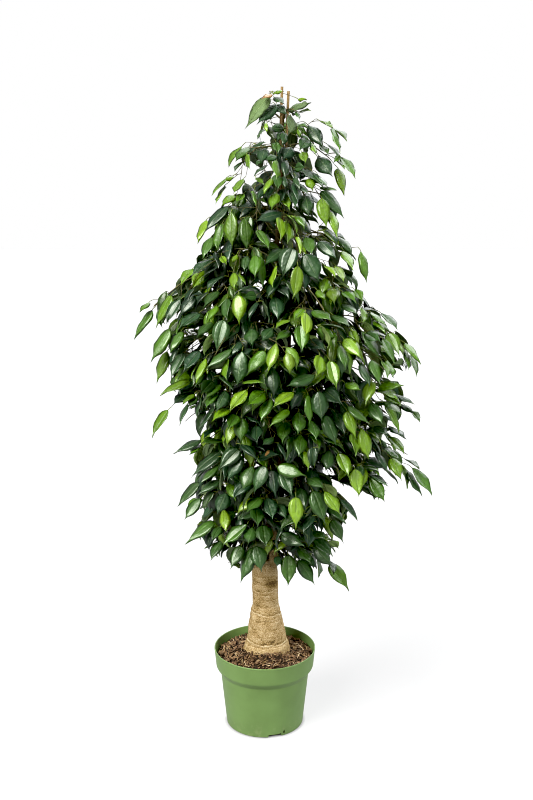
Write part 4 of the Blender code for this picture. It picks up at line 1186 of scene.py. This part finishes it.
# Pot
potForm = {
    # (radius, height, rounding) of the turned outline, up the outside, over the rim and down the inside
    "outline": ((0.090, 0.0, 0), (0.103, 0.0, 0.0022), (0.1180, 0.147, 0.0030), (0.1302, 0.1635, 0.004),
                (0.1344, 0.2085, 0.0006), (0.1350, 0.2095, 0.0005), (0.1350, 0.213, 0.0011),
                (0.1325, 0.213, 0.001), (0.1322, 0.2085, 0.0006), (0.1280, 0.1650, 0.002),
                (0.1158, 0.1475, 0.0012), (0.1008, 0.003, 0.002), (0.090, 0.003, 0)),
    "roundingSteps": 4,
    "longestRounding": 0.45,  # of the distance to the next corner
    "sides": 128,
    "smoothAngle": 35,
    "notches": 3,
    "firstNotch": math.radians(-74.6),
    "notchSize": (0.018, 0.036, 0.0155),
    "notchRadius": 0.103,
    "notchCorner": 0.0018,
    # Small upright slot beside the first notch: angle, height and size
    "slot": (math.radians(-60.4), 0.0100, (0.022, 0.0050, 0.0085)),
    "green": ((0.3, "#637E45"), (0.7, "#6B884C")),
    "flow": 0.06,  # size of the flow marks
    "scuff": "#8C9A68",
    "scuffs": (0.012, 0.05, 0.5),  # size, how high up the pot they go and their strength
    "grain": 0.0015,
}


def softOutline(corners):
    # The outline with each corner rounded by a short curve
    line, steps = [], potForm["roundingSteps"]
    for k, (radius, height, rounding) in enumerate(corners):
        here = Vector((radius, 0, height))
        if not rounding or k in (0, len(corners) - 1):
            line.append(here)
            continue
        ends = []
        for besideRadius, besideHeight, _ in (corners[k - 1], corners[k + 1]):
            way = Vector((besideRadius, 0, besideHeight)) - here
            ends.append(here + way.normalized() * min(rounding, way.length * potForm["longestRounding"]))
        line += [onBend(ends[0], here, ends[1], step / steps) for step in range(steps + 1)]
    return line


def potMaterial():
    # Polypropylene, injection moulded: satin mid green with faint flow marks and a few scuffs near the foot
    material, tree, shader = startMaterial("polypropylene_moulded_green", {"IOR": 1.49})
    size, high, strength = potForm["scuffs"]
    place = addNode(tree, "TexCoord", {}, {})
    clouds = addNode(tree, "TexNoise", {"Scale": 1 / potForm["flow"], "Detail": 4.0}, {"Vector": place})
    ramp = addNode(tree, "ValToRGB", {"stops": potForm["green"]}, {0: clouds})
    parts = addNode(tree, "SeparateXYZ", {}, {0: place})
    low = addNode(tree, "MapRange", {"From Min": high, "From Max": 0.0, "To Max": strength},
                  {"Value": (parts, 2)})
    scuffs = addNode(tree, "TexNoise", {"Scale": 1 / size, "Detail": 5.0}, {"Vector": place})
    share = addNode(tree, "MapRange", {"From Min": 0.52, "From Max": 0.7}, {"Value": scuffs})
    share = addNode(tree, "Math", {"operation": "MULTIPLY"}, {0: low, 1: share})
    colour = addNode(tree, "Mix", {"data_type": "RGBA", 7: hexColour(potForm["scuff"])}, {0: share, 6: ramp})
    gloss = addNode(tree, "MapRange", {"To Min": 0.36, "To Max": 0.5}, {"Value": scuffs})
    grain = addNode(tree, "TexNoise", {"Scale": 1 / potForm["grain"], "Detail": 2.0}, {"Vector": place})
    bump = addNode(tree, "Bump", {"Strength": 0.08, "Distance": 0.0003}, {"Height": grain})
    wire(tree, shader, {"Base Color": colour, "Roughness": gloss, "Normal": bump})
    return material


def addCutter(bm, angle, high, size):
    # A box of this size in the pot's wall
    turn = Matrix.Rotation(angle, 4, "Z") @ Matrix.Translation((potForm["notchRadius"], 0, high))
    return bmesh.ops.create_cube(bm, size=1, matrix=turn @ Matrix.Diagonal((*size, 1)))["verts"]


def buildPot():
    bm = bmesh.new()
    spinOutline(bm, softOutline(potForm["outline"]), potForm["sides"])
    fillHoles(bm)
    bmesh.ops.remove_doubles(bm, verts=bm.verts[:], dist=1e-6)
    bmesh.ops.recalc_face_normals(bm, faces=bm.faces[:])
    pot = finishPiece("potShell", bm, [potMaterial()], ["pot"], potForm["smoothAngle"])
    bm = bmesh.new()
    for k in range(potForm["notches"]):
        angle = potForm["firstNotch"] + math.tau * k / potForm["notches"]
        corners = {edge for vert in addCutter(bm, angle, 0, potForm["notchSize"]) for edge in vert.link_edges}
        bmesh.ops.bevel(bm, geom=list(corners), offset=potForm["notchCorner"], segments=3, affect="EDGES",
                        profile=0.5, material=-1)
    addCutter(bm, *potForm["slot"])
    cutter = addObject("notches", meshFrom(bm, "notches"))
    cut = pot.modifiers.new("notches", "BOOLEAN")
    cut.object = cutter
    cut.operation = "DIFFERENCE"
    bpy.context.view_layer.update()
    pot.data = bpy.data.meshes.new_from_object(pot.evaluated_get(bpy.context.evaluated_depsgraph_get()))
    pot.modifiers.clear()
    smoothMesh(pot.data, potForm["smoothAngle"])
    bpy.data.objects.remove(cutter)


buildPot()
print("pot built")


# Potting mix: a lumpy top, with chips and straws of coir and bark
soilForm = {
    # Underside on the pot's floor and wall against the pot: radius and height
    "outline": ((0.0, 0.0034), (0.1000, 0.0034), (0.1148, 0.1478), (0.1270, 0.1660), (0.1290, 0.184)),
    "top": 0.191,
    "reach": 0.1285,  # stays just inside the pot
    "sides": 96,
    "rings": 30,
    "sunk": 0.002,  # the bed lies this far under the chips
    "lump": 0.005,
    "lumpSize": 0.022,
    "heap": (0.008, 0.013),  # rises this much towards the trunk, and so much more in front of it
    "heapReach": (0.055, 0.075),  # highest up to this radius, and level this much further out
    "trunk": Vector((0.0057, 0.011, 0)),
    "bareRadius": 0.058,  # no chip lies nearer to the trunk's axis
    # For bark chips and coir straws: how many, and the least and greatest length, width and thickness
    "chips": (1500, (0.004, 0.013), (0.0025, 0.006), (0.0012, 0.0035)),
    "straws": (260, (0.009, 0.024), (0.0010, 0.0022), (0.0006, 0.0012)),
    "tilt": (0.45, 0.4),
    "float": (-0.001, 0.0035),  # how high the middle of a chip lies over the surface
    "uneven": 0.22,
    "seed": 5,
}


def soilHeight(x, y):
    # The mix is highest against the trunk and lumpy all over
    highTo, over = soilForm["heapReach"]
    share = max(0.0, 1 - (math.hypot(x, y) - highTo) / over)
    fromTrunk = (Vector((x, y, 0)) - soilForm["trunk"]).normalized()
    heap = soilForm["heap"][0] + soilForm["heap"][1] * max(0.0, -fromTrunk.y)
    lumps = noise.fractal(Vector((x, y, 0.3)) / soilForm["lumpSize"], 0.6, 2.1, 4)
    return soilForm["top"] + heap * share + soilForm["lump"] * lumps


def soilMaterial(name, colours, grain):
    # Coir and bark, shredded and moist: rough, with no shine
    material, tree, shader = startMaterial(name, {"Specular IOR Level": 0.25})
    place = addNode(tree, "TexCoord", {}, {})
    tone = addNode(tree, "Attribute", {"attribute_name": "chipTone"}, {})
    grains = addNode(tree, "TexNoise", {"Scale": 1 / grain, "Detail": 5.0, "Roughness": 0.65},
                     {"Vector": place})
    mixed = addNode(tree, "Math", {"operation": "MULTIPLY_ADD", 1: 0.75, 2: -0.12}, {0: grains})
    mixed = addNode(tree, "Math", {"operation": "MULTIPLY_ADD", 1: 0.6}, {0: tone, 2: mixed})
    ramp = addNode(tree, "ValToRGB", {"stops": tuple(zip((0.15, 0.5, 0.85), colours))}, {0: mixed})
    gloss = addNode(tree, "MapRange", {"To Min": 0.75, "To Max": 1.0}, {"Value": grains})
    bump = addNode(tree, "Bump", {"Strength": 0.8, "Distance": 0.0012}, {"Height": grains})
    wire(tree, shader, {"Base Color": ramp, "Roughness": gloss, "Normal": bump})
    return material


def buildSoilBed():
    mix = soilMaterial("potting_mix_moist", ("#17100B", "#43301F", "#6B4C33"), 0.004)
    bm = bmesh.new()
    bm.verts.layers.float.new("chipTone")  # the bed has no tone of its own
    spots = [(radius, 0, height) for radius, height in soilForm["outline"]]
    spots += [(soilForm["reach"] * (1 - k / soilForm["rings"]), 0, soilForm["top"])
              for k in range(soilForm["rings"] + 1)]
    spinOutline(bm, spots, soilForm["sides"])
    bmesh.ops.remove_doubles(bm, verts=bm.verts[:], dist=1e-5)
    for vert in bm.verts:
        if vert.co.z >= soilForm["top"] - 1e-5:
            vert.co.z = soilHeight(vert.co.x, vert.co.y) - soilForm["sunk"]
    bmesh.ops.recalc_face_normals(bm, faces=bm.faces[:])
    finishPiece("soilBed", bm, [mix], ["soil"])


def buildSoilChips():
    chip = soilMaterial("bark_chips_shredded", ("#24180F", "#5D4531", "#8F7152"), 0.003)
    straw = soilMaterial("coir_fibre_dry", ("#66502F", "#9C7F54", "#CCB590"), 0.004)
    draw = random.Random(soilForm["seed"])
    bm = bmesh.new()
    tone = bm.verts.layers.float.new("chipTone")
    for isStraw, (count, *spans) in enumerate((soilForm["chips"], soilForm["straws"])):
        for _ in range(count):
            angle, away = draw.uniform(0, math.tau), soilForm["reach"] * math.sqrt(draw.random()) * 0.985
            x, y = away * math.cos(angle), away * math.sin(angle)
            if (Vector((x, y, 0)) - soilForm["trunk"]).length < soilForm["bareRadius"]:
                continue
            size = [draw.uniform(*span) for span in spans]
            turn = Matrix.Rotation(draw.uniform(0, math.tau), 4, "Z")
            for spread, axis in zip(soilForm["tilt"], "YX"):
                turn = turn @ Matrix.Rotation(draw.gauss(0, spread), 4, axis)
            high = soilHeight(x, y) + draw.uniform(*soilForm["float"])
            limit = soilForm["reach"] - size[0] * 0.5
            if away > limit:
                x, y = x * limit / away, y * limit / away
            spot = Matrix.Translation((x, y, high)) @ turn @ Matrix.Diagonal((*size, 1))
            if isStraw:
                made = bmesh.ops.create_cube(bm, size=1, matrix=spot)["verts"]
            else:
                made = bmesh.ops.create_icosphere(bm, subdivisions=1, radius=0.55, matrix=spot)["verts"]
            shade = draw.random()
            for vert in made:
                vert[tone] = shade
                push = Vector([draw.uniform(-1, 1) for _ in range(3)])
                vert.co += push * min(size[1:]) * soilForm["uneven"]
            for face in {f for vert in made for f in vert.link_faces}:
                face.material_index = isStraw
    finishPiece("soilChips", bm, [chip, straw], [], 30)


buildSoilBed()
buildSoilChips()
print("potting mix built")


# Trunk: a wound, fibrous trunk with creases between its layers, and three stems from its head
trunkForm = {
    # Radius of the trunk by height
    "outline": ((0.176, 0.0640), (0.200, 0.0634), (0.214, 0.0590), (0.232, 0.0526), (0.249, 0.0502),
                (0.266, 0.0480), (0.283, 0.0452), (0.300, 0.0420), (0.314, 0.0386), (0.335, 0.0337),
                (0.361, 0.0337), (0.389, 0.0339), (0.407, 0.0336), (0.425, 0.0334), (0.440, 0.0328)),
    "axis": [Vector(p) for p in ((0.0058, 0.0130, 0.150), (0.0052, 0.0105, 0.226), (0.0028, 0.0078, 0.302),
                                 (0.0008, 0.0050, 0.378), (0.0002, 0.0020, 0.466))],
    "low": 0.176,
    "high": 0.464,
    "head": (0.440, 0.024, 0.022),  # rounded from this height, over so much, to this radius
    "sides": 168,
    "rows": 200,
    # Ridges between the wound layers: height, tilt, the side where it is highest and how far it stands out
    "ridges": ((0.2330, 0.0025, 2.6, 1.0), (0.2230, 0.0020, 5.5, 0.4), (0.2720, 0.0030, 1.0, 0.25),
               (0.3120, 0.0045, 3.4, 0.9), (0.3660, 0.0030, 3.6, 0.45), (0.3950, 0.0020, 5.6, 0.4),
               (0.4200, 0.0030, 0.6, 0.5), (0.3350, 0.0040, 2.0, 0.45), (0.3490, 0.0035, 4.4, 0.5),
               (0.3810, 0.0030, 1.2, 0.45), (0.2900, 0.0030, 5.0, 0.3), (0.2530, 0.0030, 2.0, 0.25)),
    # Section of a ridge in humps (height, middle, width): its crest, a crease over it and a swelling under it
    "section": ((0.0010, 0.0, 0.0010), (-0.0006, 0.003, 0.0022), (0.0010, -0.010, 0.008)),
    "crest": (0.0, 0.0013),  # middle and width of the pale line on a ridge
    "crease": (0.0036, 0.0020),  # and of the painted shade in the crease over it
    "wander": (0.0034, 0.018),  # how far the ridges stray, and over what distance
    # Painted leaf shadows, as darker patches: height, side, size and strength
    "leafShadows": ((0.400, -0.97, 0.011, 1.6), (0.242, -1.30, 0.004, 1.8), (0.345, -2.2, 0.012, 0.7)),
    # How far the skin stands out, and its grain round the trunk and along it
    "skin": {"lumps": (0.0014, 0.026, 0.022), "wrinkles": (0.0005, 0.0085, 0.0040),
             "fibres": (0.0005, 0.0040, 0.0024)},
    "leader": [Vector(p) for p in ((0.0046, 0.0200, 0.40), (0.0050, 0.0200, 0.50), (0.0090, 0.0180, 0.75),
                                   (0.0170, 0.0160, 1.00), (0.0280, 0.0130, 1.25), (0.0410, 0.0120, 1.45),
                                   (0.0450, 0.0110, 1.60))],
    "leaderRadii": (0.0115, 0.0115, 0.0100, 0.0085, 0.0065, 0.0045, 0.0025),
    "right": [Vector(p) for p in ((0.0170, -0.0070, 0.40), (0.0240, -0.0100, 0.50), (0.0380, -0.0220, 0.70),
                                  (0.0520, -0.0320, 0.90), (0.0620, -0.0340, 1.10), (0.0660, -0.0300, 1.22))],
    "rightRadii": (0.0115, 0.0110, 0.0090, 0.0070, 0.0050, 0.0028),
    "left": [Vector(p) for p in ((-0.0150, -0.0070, 0.40), (-0.0180, -0.0090, 0.50), (-0.0340, -0.0040, 0.70),
                                 (-0.0500, 0.0080, 0.90), (-0.0600, 0.0160, 1.05), (-0.0630, 0.0200, 1.15))],
    "leftRadii": (0.0115, 0.0110, 0.0090, 0.0065, 0.0045, 0.0028),
    "stemSides": 14,
    "stemSteps": 9,  # for each stretch between two points
    "stemUneven": (0.08, 0.03),
    "bark": ((0.24, "#564227"), (0.36, "#81683A"), (0.47, "#A3895C"), (0.62, "#B9A27A"), (0.85, "#DED2B0")),
    "grain": (0.018, 0.0036),  # size of the cloudy patches and of the fibres
    "young": "#40331F",
    "youngFrom": (0.44, 0.60),  # the stems turn to young bark over these heights
}


def hump(away, middle, width):
    return math.exp(-((away - middle) / width) ** 2)


def trunkRelief(angle, height, radius):
    # How far the bark stands out, at the ridges most, how much pale ridge it shows there, and how much
    # painted shade in the crease and painted leaf shadow
    ring = Vector((math.cos(angle) * radius, math.sin(angle) * radius, 0))
    stray, strayOver = trunkForm["wander"]
    wander = noise.fractal((ring + up * height) / strayOver, 0.7, 2.3, 3)
    out, ridge, crease = 0.0, 0.0, 0.0
    for level, tilt, side, strength in trunkForm["ridges"]:
        away = height - level - tilt * math.cos(angle - side) - stray * wander
        here = strength * (0.75 + 0.9 * noise.noise(ring / 0.030 + up * level * 90))
        out += here * sum(rise * hump(away, middle, width) for rise, middle, width in trunkForm["section"])
        ridge += max(0.0, here) * hump(away, *trunkForm["crest"])
        crease += max(0.0, here) * hump(away, *trunkForm["crease"])
    # Painted shadows of the leaves, as darker patches
    for level, side, size, strength in trunkForm["leafShadows"]:
        aside = math.remainder(angle - side, math.tau) * radius
        crease += strength * hump(aside, 0, size * 2) * hump(height, level, size)
    grain = {"lumps": Vector((0, 0, 0)), "wrinkles": Vector((7, 3, 0)), "fibres": Vector((1, 9, 0))}
    for name, (deep, around, along) in trunkForm["skin"].items():
        value = noise.noise(ring / around + up * height / along + grain[name])
        out += deep * (0.5 - abs(value) if name == "wrinkles" else value)
    return out, ridge, crease


def barkMaterial():
    # Dry bark of a wound trunk, fibrous and matt: pale straw with brown flecks, cream on its ridges, with
    # painted shade in the creases and painted leaf shadows
    material, tree, shader = startMaterial("wound_bark_fibrous", {"Specular IOR Level": 0.25})
    cloud, fibre = trunkForm["grain"]
    start, end = trunkForm["youngFrom"]
    place = addNode(tree, "TexCoord", {}, {})
    flat = addNode(tree, "Mapping", {"Scale": (1.0, 1.0, 1.7)}, {"Vector": place})
    clouds = addNode(tree, "TexNoise", {"Scale": 1 / cloud, "Detail": 4.0}, {"Vector": place})
    fibres = addNode(tree, "TexNoise", {"Scale": 1 / fibre, "Detail": 2.0, "Roughness": 0.65},
                     {"Vector": flat})
    ridge = addNode(tree, "Attribute", {"attribute_name": "barkRidge"}, {})
    crease = addNode(tree, "Attribute", {"attribute_name": "barkCrease"}, {})
    both = addNode(tree, "Math", {"operation": "MULTIPLY_ADD", 1: 1.0, 2: -0.23}, {0: fibres})
    # painted shade in the creases and painted leaf shadows darken the bark
    for share, giver in ((0.45, clouds), (0.31, ridge), (-0.17, crease)):
        both = addNode(tree, "Math", {"operation": "MULTIPLY_ADD", 1: share}, {0: giver, 2: both})
    ramp = addNode(tree, "ValToRGB", {"stops": trunkForm["bark"]}, {0: both})
    parts = addNode(tree, "SeparateXYZ", {}, {0: place})
    young = addNode(tree, "MapRange", {"From Min": start, "From Max": end, "To Max": 0.85},
                    {"Value": (parts, 2)})
    colour = addNode(tree, "Mix", {"data_type": "RGBA", 7: hexColour(trunkForm["young"])},
                     {0: young, 6: ramp})
    gloss = addNode(tree, "MapRange", {"To Min": 0.7, "To Max": 0.95}, {"Value": fibres})
    bump = addNode(tree, "Bump", {"Strength": 0.9, "Distance": 0.0011}, {"Height": both})
    wire(tree, shader, {"Base Color": colour, "Roughness": gloss, "Normal": bump})
    return material


def buildTrunk():
    bm = bmesh.new()
    ridgeLayer, creaseLayer = (bm.verts.layers.float.new(name) for name in ("barkRidge", "barkCrease"))
    made = bmesh.ops.create_grid(bm, x_segments=trunkForm["sides"], y_segments=trunkForm["rows"], size=0.5)
    low, high = trunkForm["low"], trunkForm["high"]
    first, last = trunkForm["axis"][0].z, trunkForm["axis"][-1].z
    roundFrom, roundOver, headRadius = trunkForm["head"]
    for vert in made["verts"]:
        angle, height = math.tau * (vert.co.x + 0.5), low + (high - low) * (vert.co.y + 0.5)
        centre = onCurve(trunkForm["axis"], (height - first) / (last - first))
        radius = smoothThrough(trunkForm["outline"], height)
        radius += (headRadius - radius) * max(0.0, (height - roundFrom) / roundOver) ** 2
        relief, vert[ridgeLayer], vert[creaseLayer] = trunkRelief(angle, height, radius)
        radius += relief
        vert.co = Vector((centre.x + radius * math.cos(angle), centre.y + radius * math.sin(angle), height))
    bmesh.ops.remove_doubles(bm, verts=bm.verts[:], dist=1e-6)
    fillHoles(bm)
    bmesh.ops.recalc_face_normals(bm, faces=bm.faces[:])
    uneven, unevenSize = trunkForm["stemUneven"]
    for name in ("leader", "right", "left"):
        line, radii = trunkForm[name], trunkForm[name + "Radii"]
        steps = trunkForm["stemSteps"] * (len(line) - 1)
        points = [onCurve(line, k / steps) for k in range(steps + 1)]
        widths = np.interp(np.linspace(0, len(radii) - 1, steps + 1), range(len(radii)), radii)
        widths = [float(width) * (1 + uneven * noise.noise(point / unevenSize))
                  for width, point in zip(widths, points)]
        drawTube(bm, points, widths, trunkForm["stemSides"], 0)
    fillHoles(bm)
    finishPiece("woundTrunk", bm, [barkMaterial()], ["trunk"])


buildTrunk()
print("trunk built")


# Support canes with their joints, and the ties that hold them
caneForm = {
    "radius": 0.0032,
    "sides": 14,
    "foot": 0.4556,
    "canes": (((0.0026, -0.0030), (0.0415, -0.0040, 1.658)), ((0.0106, 0.0010), (0.0570, 0.0040, 1.648))),
    "joints": 0.135,
    "firstJoint": (0.5, 0.8),  # of that spacing over the foot of each cane
    "jointSwell": 0.0006,
    # Rings of a joint: height over its middle and share of the swelling
    "jointRings": ((-0.004, 0), (-0.0012, 0.4), (0, 1), (0.0012, 0.4), (0.004, 0)),
    "wood": ((0.3, "#775A36"), (0.55, "#A38455"), (0.8, "#C4A575")),
    "amongLeavesShade": "#332A18",
    "shadeBelow": (1.57, 1.49),  # painted shade among the leaves sets in at the first height and is full at the second
    "grain": 0.0012,
    "tie": ((0.3, "#101A12"), (0.7, "#1E2B1F")),
    "tieGrain": 0.0016,
}


def caneMaterial():
    # Split and dried bamboo, smooth: warm orange brown at the tips, darker among the leaves with painted
    # shade
    material, tree, shader = startMaterial("bamboo_cane_dried", {"Roughness": 0.45})
    start, end = caneForm["shadeBelow"]
    place = addNode(tree, "TexCoord", {}, {})
    long = addNode(tree, "Mapping", {"Scale": (1.0, 1.0, 0.06)}, {"Vector": place})
    grain = addNode(tree, "TexNoise", {"Scale": 1 / caneForm["grain"], "Detail": 3.0}, {"Vector": long})
    ramp = addNode(tree, "ValToRGB", {"stops": caneForm["wood"]}, {0: grain})
    parts = addNode(tree, "SeparateXYZ", {}, {0: place})
    # painted shade: the cane darkens among the leaves
    amongLeavesShade = addNode(tree, "MapRange", {"From Min": start, "From Max": end, "To Max": 0.85},
                   {"Value": (parts, 2)})
    colour = addNode(tree, "Mix", {"data_type": "RGBA", 7: hexColour(caneForm["amongLeavesShade"])}, {0: amongLeavesShade, 6: ramp})
    bump = addNode(tree, "Bump", {"Strength": 0.25, "Distance": 0.0003}, {"Height": grain})
    wire(tree, shader, {"Base Color": colour, "Normal": bump})
    return material


def buildCanes():
    bamboo, spacing = caneMaterial(), caneForm["joints"]
    for k, (foot, top) in enumerate(caneForm["canes"]):
        start, stop = Vector((*foot, caneForm["foot"])), Vector(top)
        length = stop.z - start.z
        rings = [(0.0, 0.0)]
        joint = spacing * caneForm["firstJoint"][k]
        while joint < length:
            rings += [((joint + step) / length, share) for step, share in caneForm["jointRings"]]
            joint += spacing
        rings.append((1.0, 0.0))
        bm = bmesh.new()
        radii = [caneForm["radius"] + caneForm["jointSwell"] * share for level, share in rings]
        drawTube(bm, [start.lerp(stop, level) for level, share in rings], radii, caneForm["sides"], 0)
        fillHoles(bm)
        finishPiece(f"caneStick{k + 1}", bm, [bamboo], [f"cane_{k + 1}"], 40)


def tieMaterial():
    # Soft rubber tie, extruded: matt dark green, almost black
    material, tree, shader = startMaterial("rubber_tie_matt", {})
    place = addNode(tree, "TexCoord", {}, {})
    grain = addNode(tree, "TexNoise", {"Scale": 1 / caneForm["tieGrain"], "Detail": 3.0}, {"Vector": place})
    ramp = addNode(tree, "ValToRGB", {"stops": caneForm["tie"]}, {0: grain})
    gloss = addNode(tree, "MapRange", {"To Min": 0.55, "To Max": 0.75}, {"Value": grain})
    wire(tree, shader, {"Base Color": ramp, "Roughness": gloss})
    return material


buildCanes()
rubber = tieMaterial()
for k in (1, 2, 3):
    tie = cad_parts[f"tie_{k}"]
    tie.data.materials.clear()
    tie.data.materials.append(rubber)
print("canes and ties built")


# Studio
studio = {
    "floor": "#767677",
    "floorSize": 12,
    "floorDrop": 0.0005,  # the floor lies this far under the pot
    "floorGlow": (0.10, 0.625),  # light from the paper to the plant, and how much more of it the eye sees
    "floorGloss": 0.2,  # share of that which shows as gloss
    "contactShade": 0.009,  # painted contact shade: the paper's glow darkens this near to the pot
    "sky": (0.96, 0.98, 1.0, 1.0),
    "skyStrength": (0.06, 0.10),  # as light, and how much more of it shows as gloss
    "backdrop": (1.0, 1.0, 1.0, 1.0),
    "blacks": 0.008,  # light up to this much shows as black, as in the photograph
    # name, direction that it shines from, strength, softness in degrees and colour; only the window and the
    # back light show as gloss, and the window as nothing else
    "lights": (
        ("key", (-0.80, -0.85, 0.85), 4.8, 38, (1.0, 0.99, 0.96)),
        ("top", (-0.35, -0.30, 1.2), 1.9, 24, (1.0, 0.99, 0.96)),
        ("side", (1.0, -0.30, 0.35), 2.9, 50, (0.98, 0.99, 1.0)),
        ("back", (0.45, 1.0, 0.8), 2.4, 60, (0.97, 0.99, 1.0)),
        ("window", (-0.55, -0.80, 1.0), 6.5, 38, (0.98, 1.0, 0.88)),
    ),
    "pixelFilter": 1.0,  # sharper than usual, as the photograph is
}


def buildFloor():
    bm = bmesh.new()
    size = studio["floorSize"]
    bmesh.ops.create_grid(bm, x_segments=size, y_segments=size, size=size)
    material, tree, shader = startMaterial("studio_floor_paper", {
        "Roughness": 0.9, "Specular IOR Level": 0.1, "Base Color": hexColour(studio["floor"]),
        "Emission Color": studio["backdrop"]})
    least, more = studio["floorGlow"]
    path = addNode(tree, "LightPath", {}, {})
    shown = addNode(tree, "Math", {"operation": "MULTIPLY_ADD", 1: studio["floorGloss"]},
                    {0: (path, "Is Glossy Ray"), 2: (path, "Is Camera Ray")})
    glow = addNode(tree, "Math", {"operation": "MULTIPLY_ADD", 1: more, 2: least}, {0: shown})
    # painted contact shade around the pot's foot
    near = addNode(tree, "AmbientOcclusion", {"Distance": studio["contactShade"], "samples": 8}, {})
    glow = addNode(tree, "Math", {"operation": "MULTIPLY"}, {0: glow, 1: (near, "AO")})
    wire(tree, shader, {"Emission Strength": glow})
    floor = addObject("floor", meshFrom(bm, "floor"))
    floor.data.materials.append(material)
    floor.location.z = -studio["floorDrop"]


def buildSky():
    world = bpy.data.worlds.new("studio")
    world.use_nodes = True
    tree = world.node_tree
    sky = tree.nodes["Background"]
    sky.inputs[0].default_value = studio["sky"]
    least, more = studio["skyStrength"]
    path = addNode(tree, "LightPath", {}, {})
    strength = addNode(tree, "Math", {"operation": "MULTIPLY_ADD", 1: more, 2: least},
                       {0: (path, "Is Glossy Ray")})
    wire(tree, sky, {1: strength})
    seen = addNode(tree, "Background", {0: studio["backdrop"]}, {})
    both = addNode(tree, "MixShader", {}, {0: (path, "Is Camera Ray"), 1: sky, 2: seen})
    wire(tree, tree.nodes["World Output"], {0: both})
    bpy.context.scene.world = world


def addLights():
    for name, way, strength, softness, colour in studio["lights"]:
        data = bpy.data.lights.new(name, "SUN")
        data.energy = strength
        data.angle = math.radians(softness)
        data.color = colour
        light = addObject(name, data)
        light.rotation_euler = (-Vector(way)).to_track_quat("-Z", "Y").to_euler()
        light.visible_diffuse = name != "window"
        light.visible_glossy = name in ("window", "back")


def setFilm():
    bpy.context.scene.cycles.filter_width = studio["pixelFilter"]
    view = bpy.context.scene.view_settings
    view.view_transform = "Standard"
    view.use_curve_mapping = True
    view.curve_mapping.black_level = (studio["blacks"],) * 3
    view.curve_mapping.update()


buildFloor()
buildSky()
addLights()
setFilm()
print("studio set")

for template in (outerBlade["mesh"], innerBlade["mesh"], stalkTemplate):
    bpy.data.meshes.remove(template)
